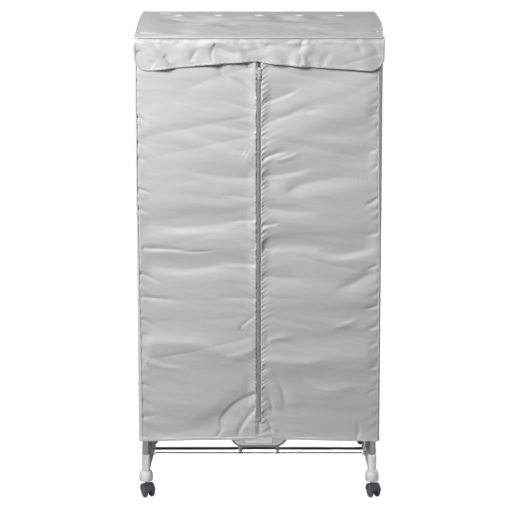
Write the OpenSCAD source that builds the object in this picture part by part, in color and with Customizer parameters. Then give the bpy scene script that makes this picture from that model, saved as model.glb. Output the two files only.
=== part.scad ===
// Drying cabinet: a chrome tube frame on four twin-wheel casters, a fan heater clipped on two
// base rods, and a coated cloth cover with a zipped front and a flap over the top of the zip.
// Front towards -Y, up is +Z. The origin is on the floor, under the middle of the cabinet.

/* [Cover] */
// Half-width of the cover at the roof
cover_hw = 340.5; // [340.5:0.5:400]
// How much wider each side stands at the hem than at the roof
flare = 6; // [0:0.5:10]
// Half-depth of the cover, front face to middle
cover_hd = 240; // [236:1:280]
// Height of the roof piping's highest line
roof_z = 1349; // [1200:1:1500]
// Height of the hem's lowest line
hem_z = 180; // [175:1:190]
// Thickness of the coated cloth
cloth_t = 1.2; // [0.8:0.1:1.4]
// Radius of the piping in the seams
piping_r = 2.5; // [2:0.1:3]
// Height of the hem binding
binding_h = 8; // [5:0.5:12]
// How far the back of the cover bellies out
back_belly = 9.4; // [2:0.2:12]

/* [Roof eyelets] */
// Number of ventilation eyelets
eyelet_n = 5; // [1:1:7]
// Distance between eyelets
eyelet_pitch = 117.5; // [60:0.5:118]
// Distance of the eyelet row from the back edge
eyelet_back = 75; // [60:1:110]
// Radius of an eyelet's flange
eyelet_r = 12.5; // [9:0.5:14]
// Radius of an eyelet's hole
eyelet_hole_r = 5.5; // [3:0.5:6]

/* [Flap] */
// How far the flap's ends stand past the sides of the roof
flap_past = 3.5; // [0.5:0.5:5.5]
// Drop of the flap in its middle
flap_drop = 65; // [50:1:90]
// Extra drop of the flap near its ends
flap_ends = 26; // [5:1:40]
// Radius of the flap's lower corners
flap_corner = 38; // [20:1:45]
// Height of the bound edge of the flap
flap_edge = 6; // [4:0.5:10]
// Thickness of the bound edge of the flap
flap_edge_t = 2.2; // [1.6:0.1:2.6]

/* [Front opening] */
// Height of the sewn strip's top, where the zip ends
sill_top = 250; // [235:1:300]
// Gap between the edges of the front cloths
cloth_gap = 0.6; // [0.4:0.1:1]
// Distance from the flap's edge down to the top of the front cloths
under_flap = 3; // [2:0.5:5]
// Half-width of the space between the front cloths, where the zip shows
zip_hw = 6.5; // [6.2:0.1:7]

/* [Zip] */
// Half-width that the tape reaches under the cloth
tape_hw = 18; // [10:0.5:18.5]
// Thickness of the tape
tape_t = 0.8; // [0.5:0.1:1]
// Width of the coil on each tape
coil_w = 2.2; // [1.5:0.1:2.3]
// Height of the coil over the tape
coil_h = 1.6; // [1:0.1:1.8]
// Height of the slider's lower end when the zip is shut
slider_z = 1243; // [1100:1:1250]
// Length of the slider
slider_l = 22; // [18:1:26]
// Length of the pull tab
pull_l = 26; // [15:1:34]

/* [Frame tubes] */
// Distance of the uprights' middle lines in from the sides of the cover
leg_in_x = 12.5; // [12.5:0.5:18]
// Distance of the uprights' middle lines in from the front and back of the cover
leg_in_y = 26; // [22:1:34]
// Outer diameter of the frame tubes
tube_d = 19; // [16:0.5:19]
// Wall of all the tubes
tube_wall = 1.2; // [0.8:0.1:1.6]
// Height at which the lower and upper uprights meet
joint_z = 660; // [500:5:800]
// Outer diameter of the hanging rails
rail_d = 16; // [12:0.5:18]
// Distance of each hanging rail from the middle
rail_y = 75; // [40:1:110]
// How far the hanging rails hang below the top rails
rail_drop = 24; // [22:0.5:34]
// Radius of the plastic corner fittings
corner_r = 11; // [10.8:0.1:11]
// Length of the spigots inside the tubes
spigot_l = 28; // [15:1:40]

/* [Base] */
// Height of the foot's underside, where the caster begins
foot_z = 47; // [46:0.5:52]
// Radius of the foot
foot_r = 20; // [16:0.5:20]
// Height of the top of the foot's shoulder
foot_top = 79; // [74:0.5:84]
// Outer radius of the sleeve over the foot
sleeve_r = 12.5; // [12:0.1:12.5]
// Height of the sleeve's rim
sleeve_top = 127; // [115:1:140]
// Height of the base rods' middle line
rod_z = 105; // [100:0.5:110]
// Distance of each base rod from the middle
rod_y = 120; // [110:1:130]
// How far the base arch reaches inwards from the uprights, at the rods
arch_in = 24; // [20:0.5:30]
// Height of the arch's underside in the middle
arch_low = 150; // [142:1:152]
// Height of the arch's top in the middle
arch_high = 178; // [176:1:196]
// Wall of the plastic mouldings
mould_wall = 3; // [2:0.1:3.2]

/* [Casters] */
// Radius of the wheels
wheel_r = 20; // [18:0.5:20]
// Width of one wheel
wheel_w = 10.7; // [8:0.1:12]
// Distance from the stem to the axle
trail = 12; // [10:0.5:13]
// Diameter of the stem
stem_d = 7; // [6:0.1:7]
// Diameter of the axle
axle_d = 5; // [4:0.1:6]
// Heading of the left front caster, from +X
head_fl = -65; // [-180:5:180]
// Heading of the right front caster
head_fr = -70; // [-180:5:180]
// Heading of the left rear caster
head_rl = 110; // [-180:5:180]
// Heading of the right rear caster
head_rr = 115; // [-180:5:180]

/* [Heater] */
// Half-width of the heater housing
heat_hw = 87; // [80:1:92]
// Half-depth of the heater housing
heat_hd = 133; // [130:0.5:136]
// Radius of its lower corners
heat_corner = 42; // [30:1:46]
// Height of its underside above the middle of the rods
heat_over = 14.5; // [13:0.1:16]
// Height of the line between tub and lid
split_z = 195; // [190:1:205]
// Height of the lid's top
lid_z = 245; // [235:1:260]
// Wall of the housing
heat_wall = 2.5; // [2:0.1:3]
// Radius of the outlet grille
grille_r = 74; // [60:1:76]
// Width of a grille ring
ring_w = 3; // [2:0.1:4]
// Distance between grille rings
ring_pitch = 9; // [7:0.5:12]
// Sideways distance of the rod clips from the middle
clip_x = 54.4; // [50:0.1:60]
// Width of a rod clip
clip_w = 13; // [8:0.5:15]

/* [Fan and controls] */
// Radius of the impeller
fan_r = 68; // [50:1:72]
// Number of blades
fan_n = 7; // [3:1:9]
// Radius of the impeller's hub
hub_r = 22; // [18:0.5:26]
// Radius of the motor
motor_r = 23; // [18:0.5:26]
// Sideways place of the timer knob
knob_x = 14; // [0:1:30]
// Height of the knob's middle
knob_z = 174; // [173:0.5:176]
// Radius of the knob
knob_r = 16; // [10:0.5:17]
// Length of the knob
knob_l = 14; // [8:0.5:20]
// Radius of the hole for the supply cord
cord_r = 3.7; // [3:0.1:4.2]

/* [Hidden] */

$fn = 48;

// Colours
grey = "#c4c4c2";
dark = "#5a5d60";
black = "#30333a";
chrome = "#dfe1e4";
cloth = "#bfc0c1";
metal = "#b9bbbd";

// Clearances
fit = 0.1;    // a tube or pin in its socket, all round
run = 0.05;   // a shaft in its bearing, all round
rest = 0.3;   // two pieces that must not touch

// The uprights' places: name ending, side, front or back, heading of the caster
legs = [
    ["fl", -1, -1, head_fl], ["fr", 1, -1, head_fr],
    ["rl", -1, 1, head_rl], ["rr", 1, 1, head_rr]
];

// ---- Places worked out from the sizes

tube_r = tube_d/2;
tube_bore = tube_r - tube_wall;
spigot_r = tube_bore - fit;
rail_r = rail_d/2;

// Cloth planes and the corner seams, which are also the lines that the front cloths swing on
seam_in = piping_r;                        // seam line inside the cover's faces
seam_y = cover_hd - seam_in;
cloth_low = hem_z + binding_h;             // lowest line of the cloth, where the binding begins
cloth_high = roof_z - 2*piping_r - 0.5;    // highest line of the upright cloths
roof_seam_z = roof_z - piping_r;
roof_over = 2;                             // the roof stands past the sides by this
door_edge = seam_in + piping_r + 0.3;      // cloth edge, in from the side's face

function half_width(z) = cover_hw + flare*(roof_z - z)/(roof_z - hem_z);

// The frame stands inside the cover
leg_x = cover_hw - leg_in_x;
leg_y = cover_hd - leg_in_y;
arch_x = leg_x - arch_in;

// Top frame: the corner fittings carry the roof
roof_under = roof_seam_z + cloth_t/2 - cloth_t;
top_z = roof_under - 0.2 - corner_r;
collar_l = 14;                             // from the middle of a corner fitting to a tube's end
rail_z = top_z - rail_drop;
saddle_in = 24;                            // reach of a saddle inwards from the top rail
rail_half = leg_x - tube_r - fit - 2;      // half-length of a hanging rail

// Base
seat_z = foot_top + 7;                     // the upright stands on this ledge in its sleeve
rod_seat = 14;                             // depth of a base rod in its socket
heat_z = rod_z + heat_over;                // underside of the heater
front_y = -heat_hd;

// ---- Small helpers

module along_x(x0, x1) translate([x0, 0, 0]) rotate([90, 0, 90]) linear_extrude(x1 - x0) children();
module along_y(y0, y1) translate([0, y1, 0]) rotate([90, 0, 0]) linear_extrude(y1 - y0) children();
module pipe(r, bore, l) difference() {
    cylinder(r = r, h = l);
    translate([0, 0, -1]) cylinder(r = bore, h = l + 2);
}
module pipe_x(r, bore, half) translate([-half, 0, 0]) rotate([0, 90, 0]) pipe(r, bore, 2*half);
module pipe_y(r, bore, half) translate([0, -half, 0]) rotate([-90, 0, 0]) pipe(r, bore, 2*half);
module rod_x(r, half) rotate([0, 90, 0]) cylinder(r = r, h = 2*half, center = true);
module rod_y(r, half) rotate([90, 0, 0]) cylinder(r = r, h = 2*half, center = true);

// A rise from 0 to 1 without corners
function smooth(t) = let (s = min(1, max(0, t))) s*s*(3 - 2*s);
// A rounded ridge of height 1 and half-width 1
function ridge(t) = abs(t) >= 1 ? 0 : (1 + cos(180*t))/2;

// A sheet with two faces. skin(u, v, k) gives a point of it: u across, v up, k = 1 on the face
// that looks towards -Y and 0 on the other.
module sheet(nu, nv, skin) {
    function at(k, i, j) = k*(nu + 1)*(nv + 1) + i*(nv + 1) + j;
    points = [for (k = [0, 1]) for (i = [0:nu]) for (j = [0:nv]) skin(i/nu, j/nv, k)];
    outer = [for (i = [0:nu - 1]) for (j = [0:nv - 1]) each [
        [at(1, i, j), at(1, i, j + 1), at(1, i + 1, j + 1)],
        [at(1, i, j), at(1, i + 1, j + 1), at(1, i + 1, j)]]];
    inner = [for (i = [0:nu - 1]) for (j = [0:nv - 1]) each [
        [at(0, i, j), at(0, i + 1, j + 1), at(0, i, j + 1)],
        [at(0, i, j), at(0, i + 1, j), at(0, i + 1, j + 1)]]];
    ends = [for (j = [0:nv - 1]) each [
        [at(0, 0, j), at(0, 0, j + 1), at(1, 0, j + 1)],
        [at(0, 0, j), at(1, 0, j + 1), at(1, 0, j)],
        [at(1, nu, j), at(1, nu, j + 1), at(0, nu, j + 1)],
        [at(1, nu, j), at(0, nu, j + 1), at(0, nu, j)]]];
    rims = [for (i = [0:nu - 1]) each [
        [at(0, i, 0), at(1, i, 0), at(1, i + 1, 0)],
        [at(0, i, 0), at(1, i + 1, 0), at(0, i + 1, 0)],
        [at(1, i, nv), at(0, i, nv), at(0, i + 1, nv)],
        [at(1, i, nv), at(0, i + 1, nv), at(1, i + 1, nv)]]];
    polyhedron(points = points, faces = concat(outer, inner, ends, rims), convexity = 4);
}

// ---- Folds of the cloth

// Main folds of the front: height at the zip, rise towards the corner seam in degrees,
// height of the fold (positive stands out), half-width
folds_left = [
    [1175, 38, -3.5, 60], [1000, 20, 3, 60], [832, -2, -4, 60], [705, 0, -3.5, 55],
    [440, 4, 3.5, 60], [330, -40, -4, 60]
];
folds_right = [
    [1165, 22, -4, 60], [1050, 20, 3, 55], [960, 9, -3.5, 60], [750, 3, -4.5, 60],
    [610, 0, 3, 60], [410, 3, 3.5, 60]
];
// Folds of the back, from corner to corner in the same terms, measured from its middle
folds_back = [
    [1130, 16, 2.5, 80], [930, -9, -3, 80], [730, 7, 2.5, 80], [520, -12, -3, 80], [340, 8, 2.5, 70]
];
// Folds of a side
folds_side = [
    [1180, 24, -4, 80], [960, -14, -4, 90], [720, 12, -5, 90], [470, -10, -4, 90], [300, 16, -3, 70]
];

function folds(list, x, z) = len(list) == 0 ? 0 : [for (f = list)
    f[2]*ridge((z - f[0] - x*tan(f[1]))*cos(f[1])/f[3])] * [for (f = list) 1];

// The front's relief: none beside the zip, at the corner seams, at the hem and under the flap
function front_fold(x, z) =
    folds(x < 0 ? folds_left : folds_right, abs(x), z)
    * smooth((abs(x) - tape_hw - 1)/40)
    * smooth((half_width(z) - door_edge - abs(x))/40)
    * smooth((z - cloth_low)/45)
    * smooth((door_top(x) - z)/60);

// ---- The flap's edge and the top of the front cloths under it

curve_left = 1.3;      // the flap falls late on its left side and early on its right
curve_right = 0.65;
flap_hw = cover_hw + flap_past;            // half-width of the flap
curve_end = flap_hw - flap_corner;
function flap_fall(x) = flap_drop
    + flap_ends*pow(min(1, abs(x)/curve_end), x < 0 ? curve_left : curve_right);
function flap_low(x) = roof_seam_z - flap_fall(x)
    + flap_corner*(1 - sqrt(max(0, 1 - pow(max(0, (abs(x) - curve_end)/flap_corner), 2))));
function door_top(x) = roof_seam_z - flap_fall(x) - under_flap;

// Main folds of the flap: place at the seam, place at the edge, height, half-width
folds_flap = [
    [-338, -285, 5, 42], [-180, -128, 4, 40], [-128, -52, 3.5, 42],
    [18, 46, 4, 40], [122, 112, 6, 38], [250, 285, 3, 45]
];
function flap_fold(x, z) = let (t = (roof_seam_z - z)/flap_drop)
    smooth(t*0.9)*([for (f = folds_flap) f[2]*ridge((x - f[0] - (f[1] - f[0])*t)/f[3])]
    * [for (f = folds_flap) 1]);
flap_top = roof_seam_z - piping_r - 0.4;
flap_out = cover_hd + 2.2;                 // middle of the flap's cloth at the seam
function flap_y(x, z) = -flap_out - flap_fold(x, z);

// ---- Cover

// Its first strip is the flat one that the tape is sewn to, and the others share what is left
front_n = 12;
door_low = sill_top + cloth_gap;
function cloth_x(s, z) = let (flat = tape_hw + 1, edge = half_width(z) - door_edge)
    s < 0.5/front_n ? zip_hw : flat + (edge - flat)*(s*front_n - 1)/(front_n - 1);
module front_cloth(side) sheet(front_n, 24, function (u, v, k)
    let (s = side > 0 ? u : 1 - u,
         z = door_low + (door_top(side*cloth_x(s, door_low)) - door_low)*v,
         x = side*cloth_x(s, z))
    [x, -cover_hd + (k == 1 ? 0 : cloth_t) - front_fold(x, z), z]);

module door_left() color(cloth) front_cloth(-1);
module door_right() color(cloth) front_cloth(1);

module cover_sill() color(cloth) sheet(18, 3, function (u, v, k)
    let (z = cloth_low + (sill_top - cloth_low)*v, x = (half_width(z) - door_edge)*(2*u - 1))
    [x, -cover_hd + (k == 1 ? 0 : cloth_t) - front_fold(x, z), z]);

// The strip behind the flap, above the zip
module cover_header() color(cloth) {
    n = 24;
    half = half_width(door_top(cover_hw)) - door_edge;
    low = [for (i = [0:n]) let (x = half*(2*i/n - 1)) [x, door_top(x) + cloth_gap]];
    along_y(-cover_hd, -cover_hd + cloth_t)
        polygon(concat(low, [[cover_hw - door_edge, cloth_high], [door_edge - cover_hw, cloth_high]]));
}

module cover_back() color(cloth) rotate([0, 0, 180]) sheet(12, 18, function (u, v, k)
    let (z = cloth_low + (cloth_high - cloth_low)*v,
         x = (half_width(z) - door_edge)*(2*u - 1),
         edge = smooth((1 - abs(2*u - 1))*4)*smooth(v*8)*smooth((1 - v)*8),
         belly = back_belly*smooth((1 - abs(2*u - 1))*1.2)*smooth(v*3)*smooth((1 - v)*2.5))
    [x, -cover_hd + (k == 1 ? 0 : cloth_t) - belly - edge*folds(folds_back, x, z), z]);

module cover_side() rotate([0, 0, 90]) sheet(8, 16, function (u, v, k)
    let (z = cloth_low + (cloth_high - cloth_low)*v,
         y = (seam_y - piping_r - 0.4)*(2*u - 1),
         edge = smooth((leg_y - tube_r - 8 - abs(y))/60)*smooth(v*8)*smooth((1 - v)*8))
    [y, -half_width(z) + (k == 1 ? 0 : cloth_t) - edge*folds(folds_side, y, z), z]);
module cover_side_right() color(cloth) cover_side();
module cover_side_left() color(cloth) mirror([1, 0, 0]) cover_side();

module cover_roof() color(cloth) difference() {
    half_x = cover_hw + roof_over - 2*piping_r - 0.3;
    half_y = cover_hd - piping_r - 0.3;
    translate([-half_x, -half_y, roof_under]) cube([2*half_x, 2*half_y, cloth_t]);
    eyelet_places() cylinder(r = eyelet_hole_r + 1.5 + fit, h = roof_z);
}

module eyelet_places() for (i = [0:eyelet_n - 1])
    translate([(i - (eyelet_n - 1)/2)*eyelet_pitch, cover_hd - eyelet_back, 0]) children();

// A barrel through the roof between two rolled flanges
module roof_eyelets() color(metal) eyelet_places() translate([0, 0, roof_under]) rotate_extrude()
    difference() {
        union() {
            translate([eyelet_hole_r, -1]) square([1.5, cloth_t + 2]);
            translate([eyelet_hole_r, cloth_t]) square([eyelet_r - eyelet_hole_r - 0.6, 1.2]);
            translate([eyelet_r - 0.6, cloth_t + 0.6]) circle(r = 0.6, $fn = 24);
            translate([eyelet_hole_r, -1]) square([4, 1]);
        }
        translate([0, -2]) square([eyelet_hole_r, cloth_t + 4]);
    }

// Corded seams round the roof and down the corners, and the bound hem
module cover_piping() color(cloth) {
    roof_x = cover_hw + roof_over - piping_r;
    low = cloth_low + 0.3;
    high = cloth_high;
    lean = atan(flare/(roof_z - hem_z));
    for (s = [-1, 1]) {
        translate([0, s*cover_hd, roof_seam_z]) rod_x(piping_r, roof_x + piping_r);
        translate([s*roof_x, 0, roof_seam_z]) rod_y(piping_r, cover_hd - piping_r - 0.3);
        for (t = [-1, 1]) translate([s*(half_width(low) - seam_in), t*seam_y, low])
            rotate([0, -s*lean, 0]) cylinder(r = piping_r, h = high - low);
        hem(s);
    }
}
module hem(s) {
    half_x = half_width(hem_z) + 0.6;
    thick = 2*cloth_t;
    y0 = s*cover_hd + (s > 0 ? 0.6 - thick : -0.6);
    translate([-half_x, y0, hem_z]) cube([2*half_x, thick, binding_h]);
    translate([s > 0 ? half_x - thick : -half_x, -cover_hd + thick, hem_z])
        cube([thick, 2*cover_hd - 2*thick, binding_h]);
}

module front_flap() color(cloth) sheet(32, 3, function (u, v, k)
    let (x = flap_hw*(2*u - 1), low = flap_low(x) + flap_edge, z = low + (flap_top - low)*v)
    [x, flap_y(x, z) + (k == 1 ? -cloth_t/2 : cloth_t/2), z]);

module flap_binding() color(cloth) sheet(32, 1, function (u, v, k)
    let (x = flap_hw*(2*u - 1), low = flap_low(x), z = low + flap_edge*v)
    [x, flap_y(x, z) + (k == 1 ? -flap_edge_t/2 : flap_edge_t/2), z]);

// ---- Zip

tape_y = -cover_hd + cloth_t;              // front face of the tapes, behind the cloth
coil_y = tape_y - coil_h;
coil_in = 0.25;                            // half the gap between the shut coils
part_in = 2;                               // half the gap between the coils over the slider
wedge_z = slider_z + slider_l - 6;         // underside of the slider's wedge
shut_z = wedge_z - 6;                      // the coils part above this
zip_low = sill_top + 2;
zip_high = door_top(0) - 2;
plate_t = 2;                               // thickness of the slider's plates

module zip_half() color(dark) {
    along_y(tape_y, tape_y + tape_t) polygon([[coil_in, zip_low], [coil_in, shut_z],
        [part_in, wedge_z - 1], [part_in, zip_high], [tape_hw, zip_high], [tape_hw, zip_low]]);
    along_y(coil_y, tape_y) polygon([[coil_in, zip_low], [coil_in, shut_z], [part_in, wedge_z - 1],
        [part_in, zip_high], [part_in + coil_w, zip_high], [part_in + coil_w, wedge_z - 1],
        [coil_in + coil_w, shut_z], [coil_in + coil_w, zip_low]]);
}
module zip_tape_right() zip_half();
module zip_tape_left() mirror([1, 0, 0]) zip_half();

module zip_bottom_stop() color(dark)
    translate([-5, -cover_hd - 1.4, sill_top - 12]) cube([10, 1.4, 11]);

// Two plates joined by a wedge, with lugs and a bar for the pull tab
front_plate_y = coil_y - rest;
back_plate_y = tape_y + tape_t + rest;
bar_r = 0.8;
bar_y = front_plate_y - plate_t - 2.1;
bar_z = wedge_z - 1;
module shield() {
    w = zip_hw - 1;
    polygon([[-w*0.7, slider_z], [w*0.7, slider_z], [w, slider_z + 5], [w, slider_z + slider_l - 4],
        [w*0.6, slider_z + slider_l], [-w*0.6, slider_z + slider_l],
        [-w, slider_z + slider_l - 4], [-w, slider_z + 5]]);
}
module zip_slider() color(metal) {
    flange = zip_hw - 1 - (part_in + coil_w + rest);
    along_y(front_plate_y - plate_t, front_plate_y) shield();
    along_y(back_plate_y, back_plate_y + plate_t*0.8) shield();
    translate([-1.4, front_plate_y, wedge_z]) cube([2.8, back_plate_y - front_plate_y, 6]);
    for (s = [-1, 1]) {
        translate([s*(zip_hw - 1 - flange/2) - flange/2, front_plate_y, slider_z + 5])
            cube([flange, tape_y - rest - front_plate_y, slider_l - 9]);
        translate([s*2.8 - 0.5, bar_y - 1.2, bar_z - 2])
            cube([1, front_plate_y - plate_t - bar_y + 1.2, 4]);
    }
    translate([0, bar_y, bar_z]) rod_x(bar_r, 2.8);
}
module zip_pull() color(metal) translate([0, bar_y, bar_z]) difference() {
    union() {
        rod_x(2.1, 2);
        translate([-2, -0.7, -5]) cube([4, 1.4, 5]);
        along_y(-0.7, 0.7) intersection() {
            translate([-3.5, -pull_l]) square([7, pull_l - 3.4]);
            translate([0, 5 - pull_l]) union() {
                circle(r = 5);
                translate([-3.5, 0]) square([7, pull_l]);
            }
        }
    }
    rod_x(bar_r + fit, 3);
    translate([0, 0, -pull_l + 4.5]) rod_y(1.6, 2);
}

// ---- Frame

module at_leg(i) translate([legs[i][1]*leg_x, legs[i][2]*leg_y, 0]) children();

coupler_collar = 8;
module lower_upright(i) color(chrome) at_leg(i) translate([0, 0, seat_z])
    pipe(tube_r, tube_bore, joint_z - coupler_collar/2 - seat_z);
module upper_upright(i) color(chrome) at_leg(i) translate([0, 0, joint_z + coupler_collar/2])
    pipe(tube_r, tube_bore, top_z - collar_l - joint_z - coupler_collar/2);
module lower_upright_fl() lower_upright(0);
module lower_upright_fr() lower_upright(1);
module lower_upright_rl() lower_upright(2);
module lower_upright_rr() lower_upright(3);
module upper_upright_fl() upper_upright(0);
module upper_upright_fr() upper_upright(1);
module upper_upright_rl() upper_upright(2);
module upper_upright_rr() upper_upright(3);

// A collar between two spigots, one in each tube
module upright_couplers() color(grey) for (i = [0:3]) at_leg(i) translate([0, 0, joint_z])
    rotate_extrude() polygon([[0, -spigot_l], [spigot_r - 1, -spigot_l], [spigot_r, 2 - spigot_l],
        [spigot_r, -coupler_collar/2], [tube_r + 0.8, -coupler_collar/2],
        [tube_r + 0.8, coupler_collar/2], [spigot_r, coupler_collar/2],
        [spigot_r, spigot_l - 2], [spigot_r - 1, spigot_l], [0, spigot_l]]);

// One arm of a corner fitting: a collar that the tube butts on and a spigot inside it
module elbow_arm() {
    cylinder(r = tube_r + 0.9, h = collar_l);
    cylinder(r = spigot_r, h = collar_l + spigot_l - 2);
    translate([0, 0, collar_l + spigot_l - 2]) cylinder(r1 = spigot_r, r2 = spigot_r - 1, h = 2);
}
module corner_elbow(i) color(grey) at_leg(i) translate([0, 0, top_z]) {
    sphere(r = corner_r);
    rotate([180, 0, 0]) elbow_arm();
    rotate([0, -legs[i][1]*90, 0]) elbow_arm();
    rotate([legs[i][2]*90, 0, 0]) elbow_arm();
}
module corner_elbow_fl() corner_elbow(0);
module corner_elbow_fr() corner_elbow(1);
module corner_elbow_rl() corner_elbow(2);
module corner_elbow_rr() corner_elbow(3);

module side_rail(s) color(chrome) translate([s*leg_x, 0, top_z])
    pipe_y(tube_r, tube_bore, leg_y - collar_l);
module cross_rail(s) color(chrome) translate([0, s*leg_y, top_z])
    pipe_x(tube_r, tube_bore, leg_x - collar_l);
module top_rail_left() side_rail(-1);
module top_rail_right() side_rail(1);
module top_rail_front() cross_rail(-1);
module top_rail_rear() cross_rail(1);

module hanging_rail(s) color(chrome) translate([0, s*rail_y, rail_z])
    pipe_x(rail_r, rail_r - tube_wall, rail_half);
module hanging_rail_front() hanging_rail(-1);
module hanging_rail_rear() hanging_rail(1);

// A clip that snaps over a side rail and holds the end of a hanging rail in a socket below it
module rail_saddle() {
    x_out = leg_x + tube_r*0.62;
    half = max(rail_r, 8) + 3;
    low = rail_z - rail_r - 3;
    difference() {
        along_y(-half, half) polygon([[leg_x - saddle_in, low], [leg_x + 2, low],
            [x_out, top_z - tube_r], [x_out, top_z + tube_r + 0.8],
            [leg_x - tube_r - 3, top_z + tube_r + 0.8], [leg_x - saddle_in, rail_z + rail_r + 3]]);
        translate([leg_x, 0, top_z]) rod_y(tube_r + fit, half + 1);
        translate([0, 0, rail_z]) rod_x(rail_r + fit, rail_half);
    }
}
module rail_saddles() color(grey) for (s = [-1, 1]) for (t = [-1, 1])
    translate([0, t*rail_y, 0]) mirror([s < 0 ? 1 : 0, 0, 0]) rail_saddle();

// ---- Base

function arch_under(y) = arch_low - (arch_low - foot_top + 5)*pow(min(1, abs(y)/arch_half), 1.35);
function arch_over(y) = arch_high - (arch_high - sleeve_top)*pow(min(1, abs(y)/arch_half), 1.6);
arch_half = leg_y - 9;
arch_out = leg_x + sleeve_r - 0.5;         // outer face of the arch
arch_slim = leg_x - 10;                    // inner face of the arch at the sleeves
arch_waist = 60;                           // the arch thickens from its sleeves over this length
arch_ease = 4;                             // and a little more from there to the rods

// Side view of the arch, drawn smaller by a wall on request
module arch_side(inset) {
    n = 20;
    over = [for (i = [0:n]) let (y = arch_half*(2*i/n - 1)) [y, arch_over(y) - inset]];
    under = [for (i = [n:-1:0]) let (y = arch_half*(2*i/n - 1)) [y, arch_under(y) + inset]];
    polygon(concat(over, under));
}
module arch_plan() polygon([[arch_slim, -arch_half], [arch_x + arch_ease, arch_waist - arch_half],
    [arch_x, -rod_y], [arch_x, rod_y], [arch_x + arch_ease, arch_half - arch_waist],
    [arch_slim, arch_half], [arch_out, arch_half], [arch_out, -arch_half]]);

// A foot with its shoulder, and the sleeve that the upright stands in
module leg_socket() difference() {
    steps = 6;
    shoulder = foot_top - foot_z - 14;
    rotate_extrude() polygon(concat(
        [[0, foot_z], [foot_r - 3, foot_z], [foot_r - 1, foot_z + 1], [foot_r, foot_z + 4]],
        [for (i = [0:steps]) let (a = 90 - 90*i/steps)
            [sleeve_r + (foot_r - sleeve_r)*sin(a), foot_top - shoulder*(1 - cos(a))]],
        [[sleeve_r, sleeve_top - 1], [sleeve_r - 0.6, sleeve_top], [0, sleeve_top]]));
    translate([0, 0, seat_z]) cylinder(r = tube_r + fit, h = sleeve_top);
    translate([0, 0, foot_z - 1]) cylinder(r = stem_d/2 + fit, h = stem_up + 1 + fit);
}

module base_arch() {
    boss_r = tube_r + fit + mould_wall + 1;
    rib_n = 5;
    difference() {
        union() {
            difference() {
                intersection() {
                    along_x(arch_x - 5, arch_out) arch_side(0);
                    linear_extrude(arch_high + 1) arch_plan();
                }
                // The moulding is open towards the middle, with upright ribs in it
                difference() {
                    along_x(arch_x - 6, arch_out - mould_wall) arch_side(mould_wall);
                    for (i = [-rib_n:rib_n]) translate([0, i*arch_half/(rib_n + 1) - 1, 0])
                        cube([arch_out, 2, arch_high]);
                }
            }
            for (t = [-1, 1]) translate([arch_x - 1, t*rod_y, rod_z]) rotate([0, 90, 0])
                cylinder(r = boss_r, h = arch_out - arch_x - 1);
        }
        for (t = [-1, 1]) {
            translate([0, t*rod_y, rod_z]) rod_x(tube_r + fit, arch_x + rod_seat);
            translate([leg_x, t*leg_y, foot_z - 1]) cylinder(r = sleeve_r - 0.4, h = sleeve_top);
        }
    }
    for (t = [-1, 1]) translate([leg_x, t*leg_y, 0]) leg_socket();
}
module base_arch_right() color(grey) base_arch();
module base_arch_left() color(grey) mirror([1, 0, 0]) base_arch();

module base_rod(s) color(chrome) translate([0, s*rod_y, rod_z])
    pipe_x(tube_r, tube_bore, arch_x + rod_seat);
module base_rod_front() base_rod(-1);
module base_rod_rear() base_rod(1);

// ---- Casters

stem_up = 26;                              // length of the stem inside the foot
collar_h = 3;                              // collar of the stem, under the foot
barrel_r = stem_d/2 + run + 1.4;           // barrel of the housing round the stem
barrel_top = foot_z - collar_h - rest;
stem_low = barrel_top - 17;
wheel_in = barrel_r + rest;                // inner face of a wheel, from the middle plane
axle_half = wheel_in + wheel_w - 2;

module caster_stems() color(metal) for (i = [0:3]) at_leg(i) translate([0, 0, stem_low])
    rotate_extrude() polygon([[0, 0], [stem_d/2 - 0.5, 0], [stem_d/2, 0.5],
        [stem_d/2, barrel_top + rest - stem_low], [stem_d, barrel_top + rest - stem_low],
        [stem_d, foot_z - stem_low], [stem_d/2, foot_z - stem_low],
        [stem_d/2, foot_z + stem_up - 1 - stem_low], [stem_d/2 - 1, foot_z + stem_up - stem_low],
        [0, foot_z + stem_up - stem_low]]);

module at_caster(i) at_leg(i) rotate([0, 0, legs[i][3]]) children();

// Hood over both wheels, web between them, barrel for the stem and boss for the axle
module caster_housing(i) color(black) at_caster(i) {
    hood_in = wheel_r + 1;
    hood_out = hood_in + 1.4;
    half = wheel_in + wheel_w - 0.5;
    web = 2.4;
    difference() {
        union() {
            translate([trail, 0, wheel_r]) difference() {
                union() {
                    difference() {
                        rod_y(hood_out, half);
                        rod_y(hood_in, half + 1);
                    }
                    difference() {
                        rod_y(hood_in + 0.2, web);
                        rod_y(axle_d/2 + 1, web + 1);
                    }
                }
                // The hood ends in slanting cuts, a little over the axle's height in front
                along_y(-half - 1, half + 1) scale(wheel_r)
                    polygon([[0, 0], [3, 0.6], [3, -3], [-3, -3], [-3, -0.3]]);
            }
            translate([trail, 0, wheel_r]) rod_y(axle_d/2 + 2.2, barrel_r);
            translate([0, -web, stem_low + 2]) cube([trail, 2*web, 6]);
            translate([0, 0, stem_low]) cylinder(r = barrel_r, h = barrel_top - stem_low);
        }
        translate([0, 0, stem_low - 1]) cylinder(r = stem_d/2 + run, h = 30);
        translate([trail, 0, wheel_r]) rod_y(axle_d/2 + run, barrel_r + 1);
    }
}

// Two rounded wheels pressed on one axle
module caster_wheels(i) color(black) at_caster(i) translate([trail, 0, wheel_r]) rotate([90, 0, 0]) {
    cylinder(r = axle_d/2, h = 2*axle_half, center = true);
    for (s = [0, 1]) mirror([0, 0, s]) translate([0, 0, wheel_in]) rotate_extrude() wheel_half();
}
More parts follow.
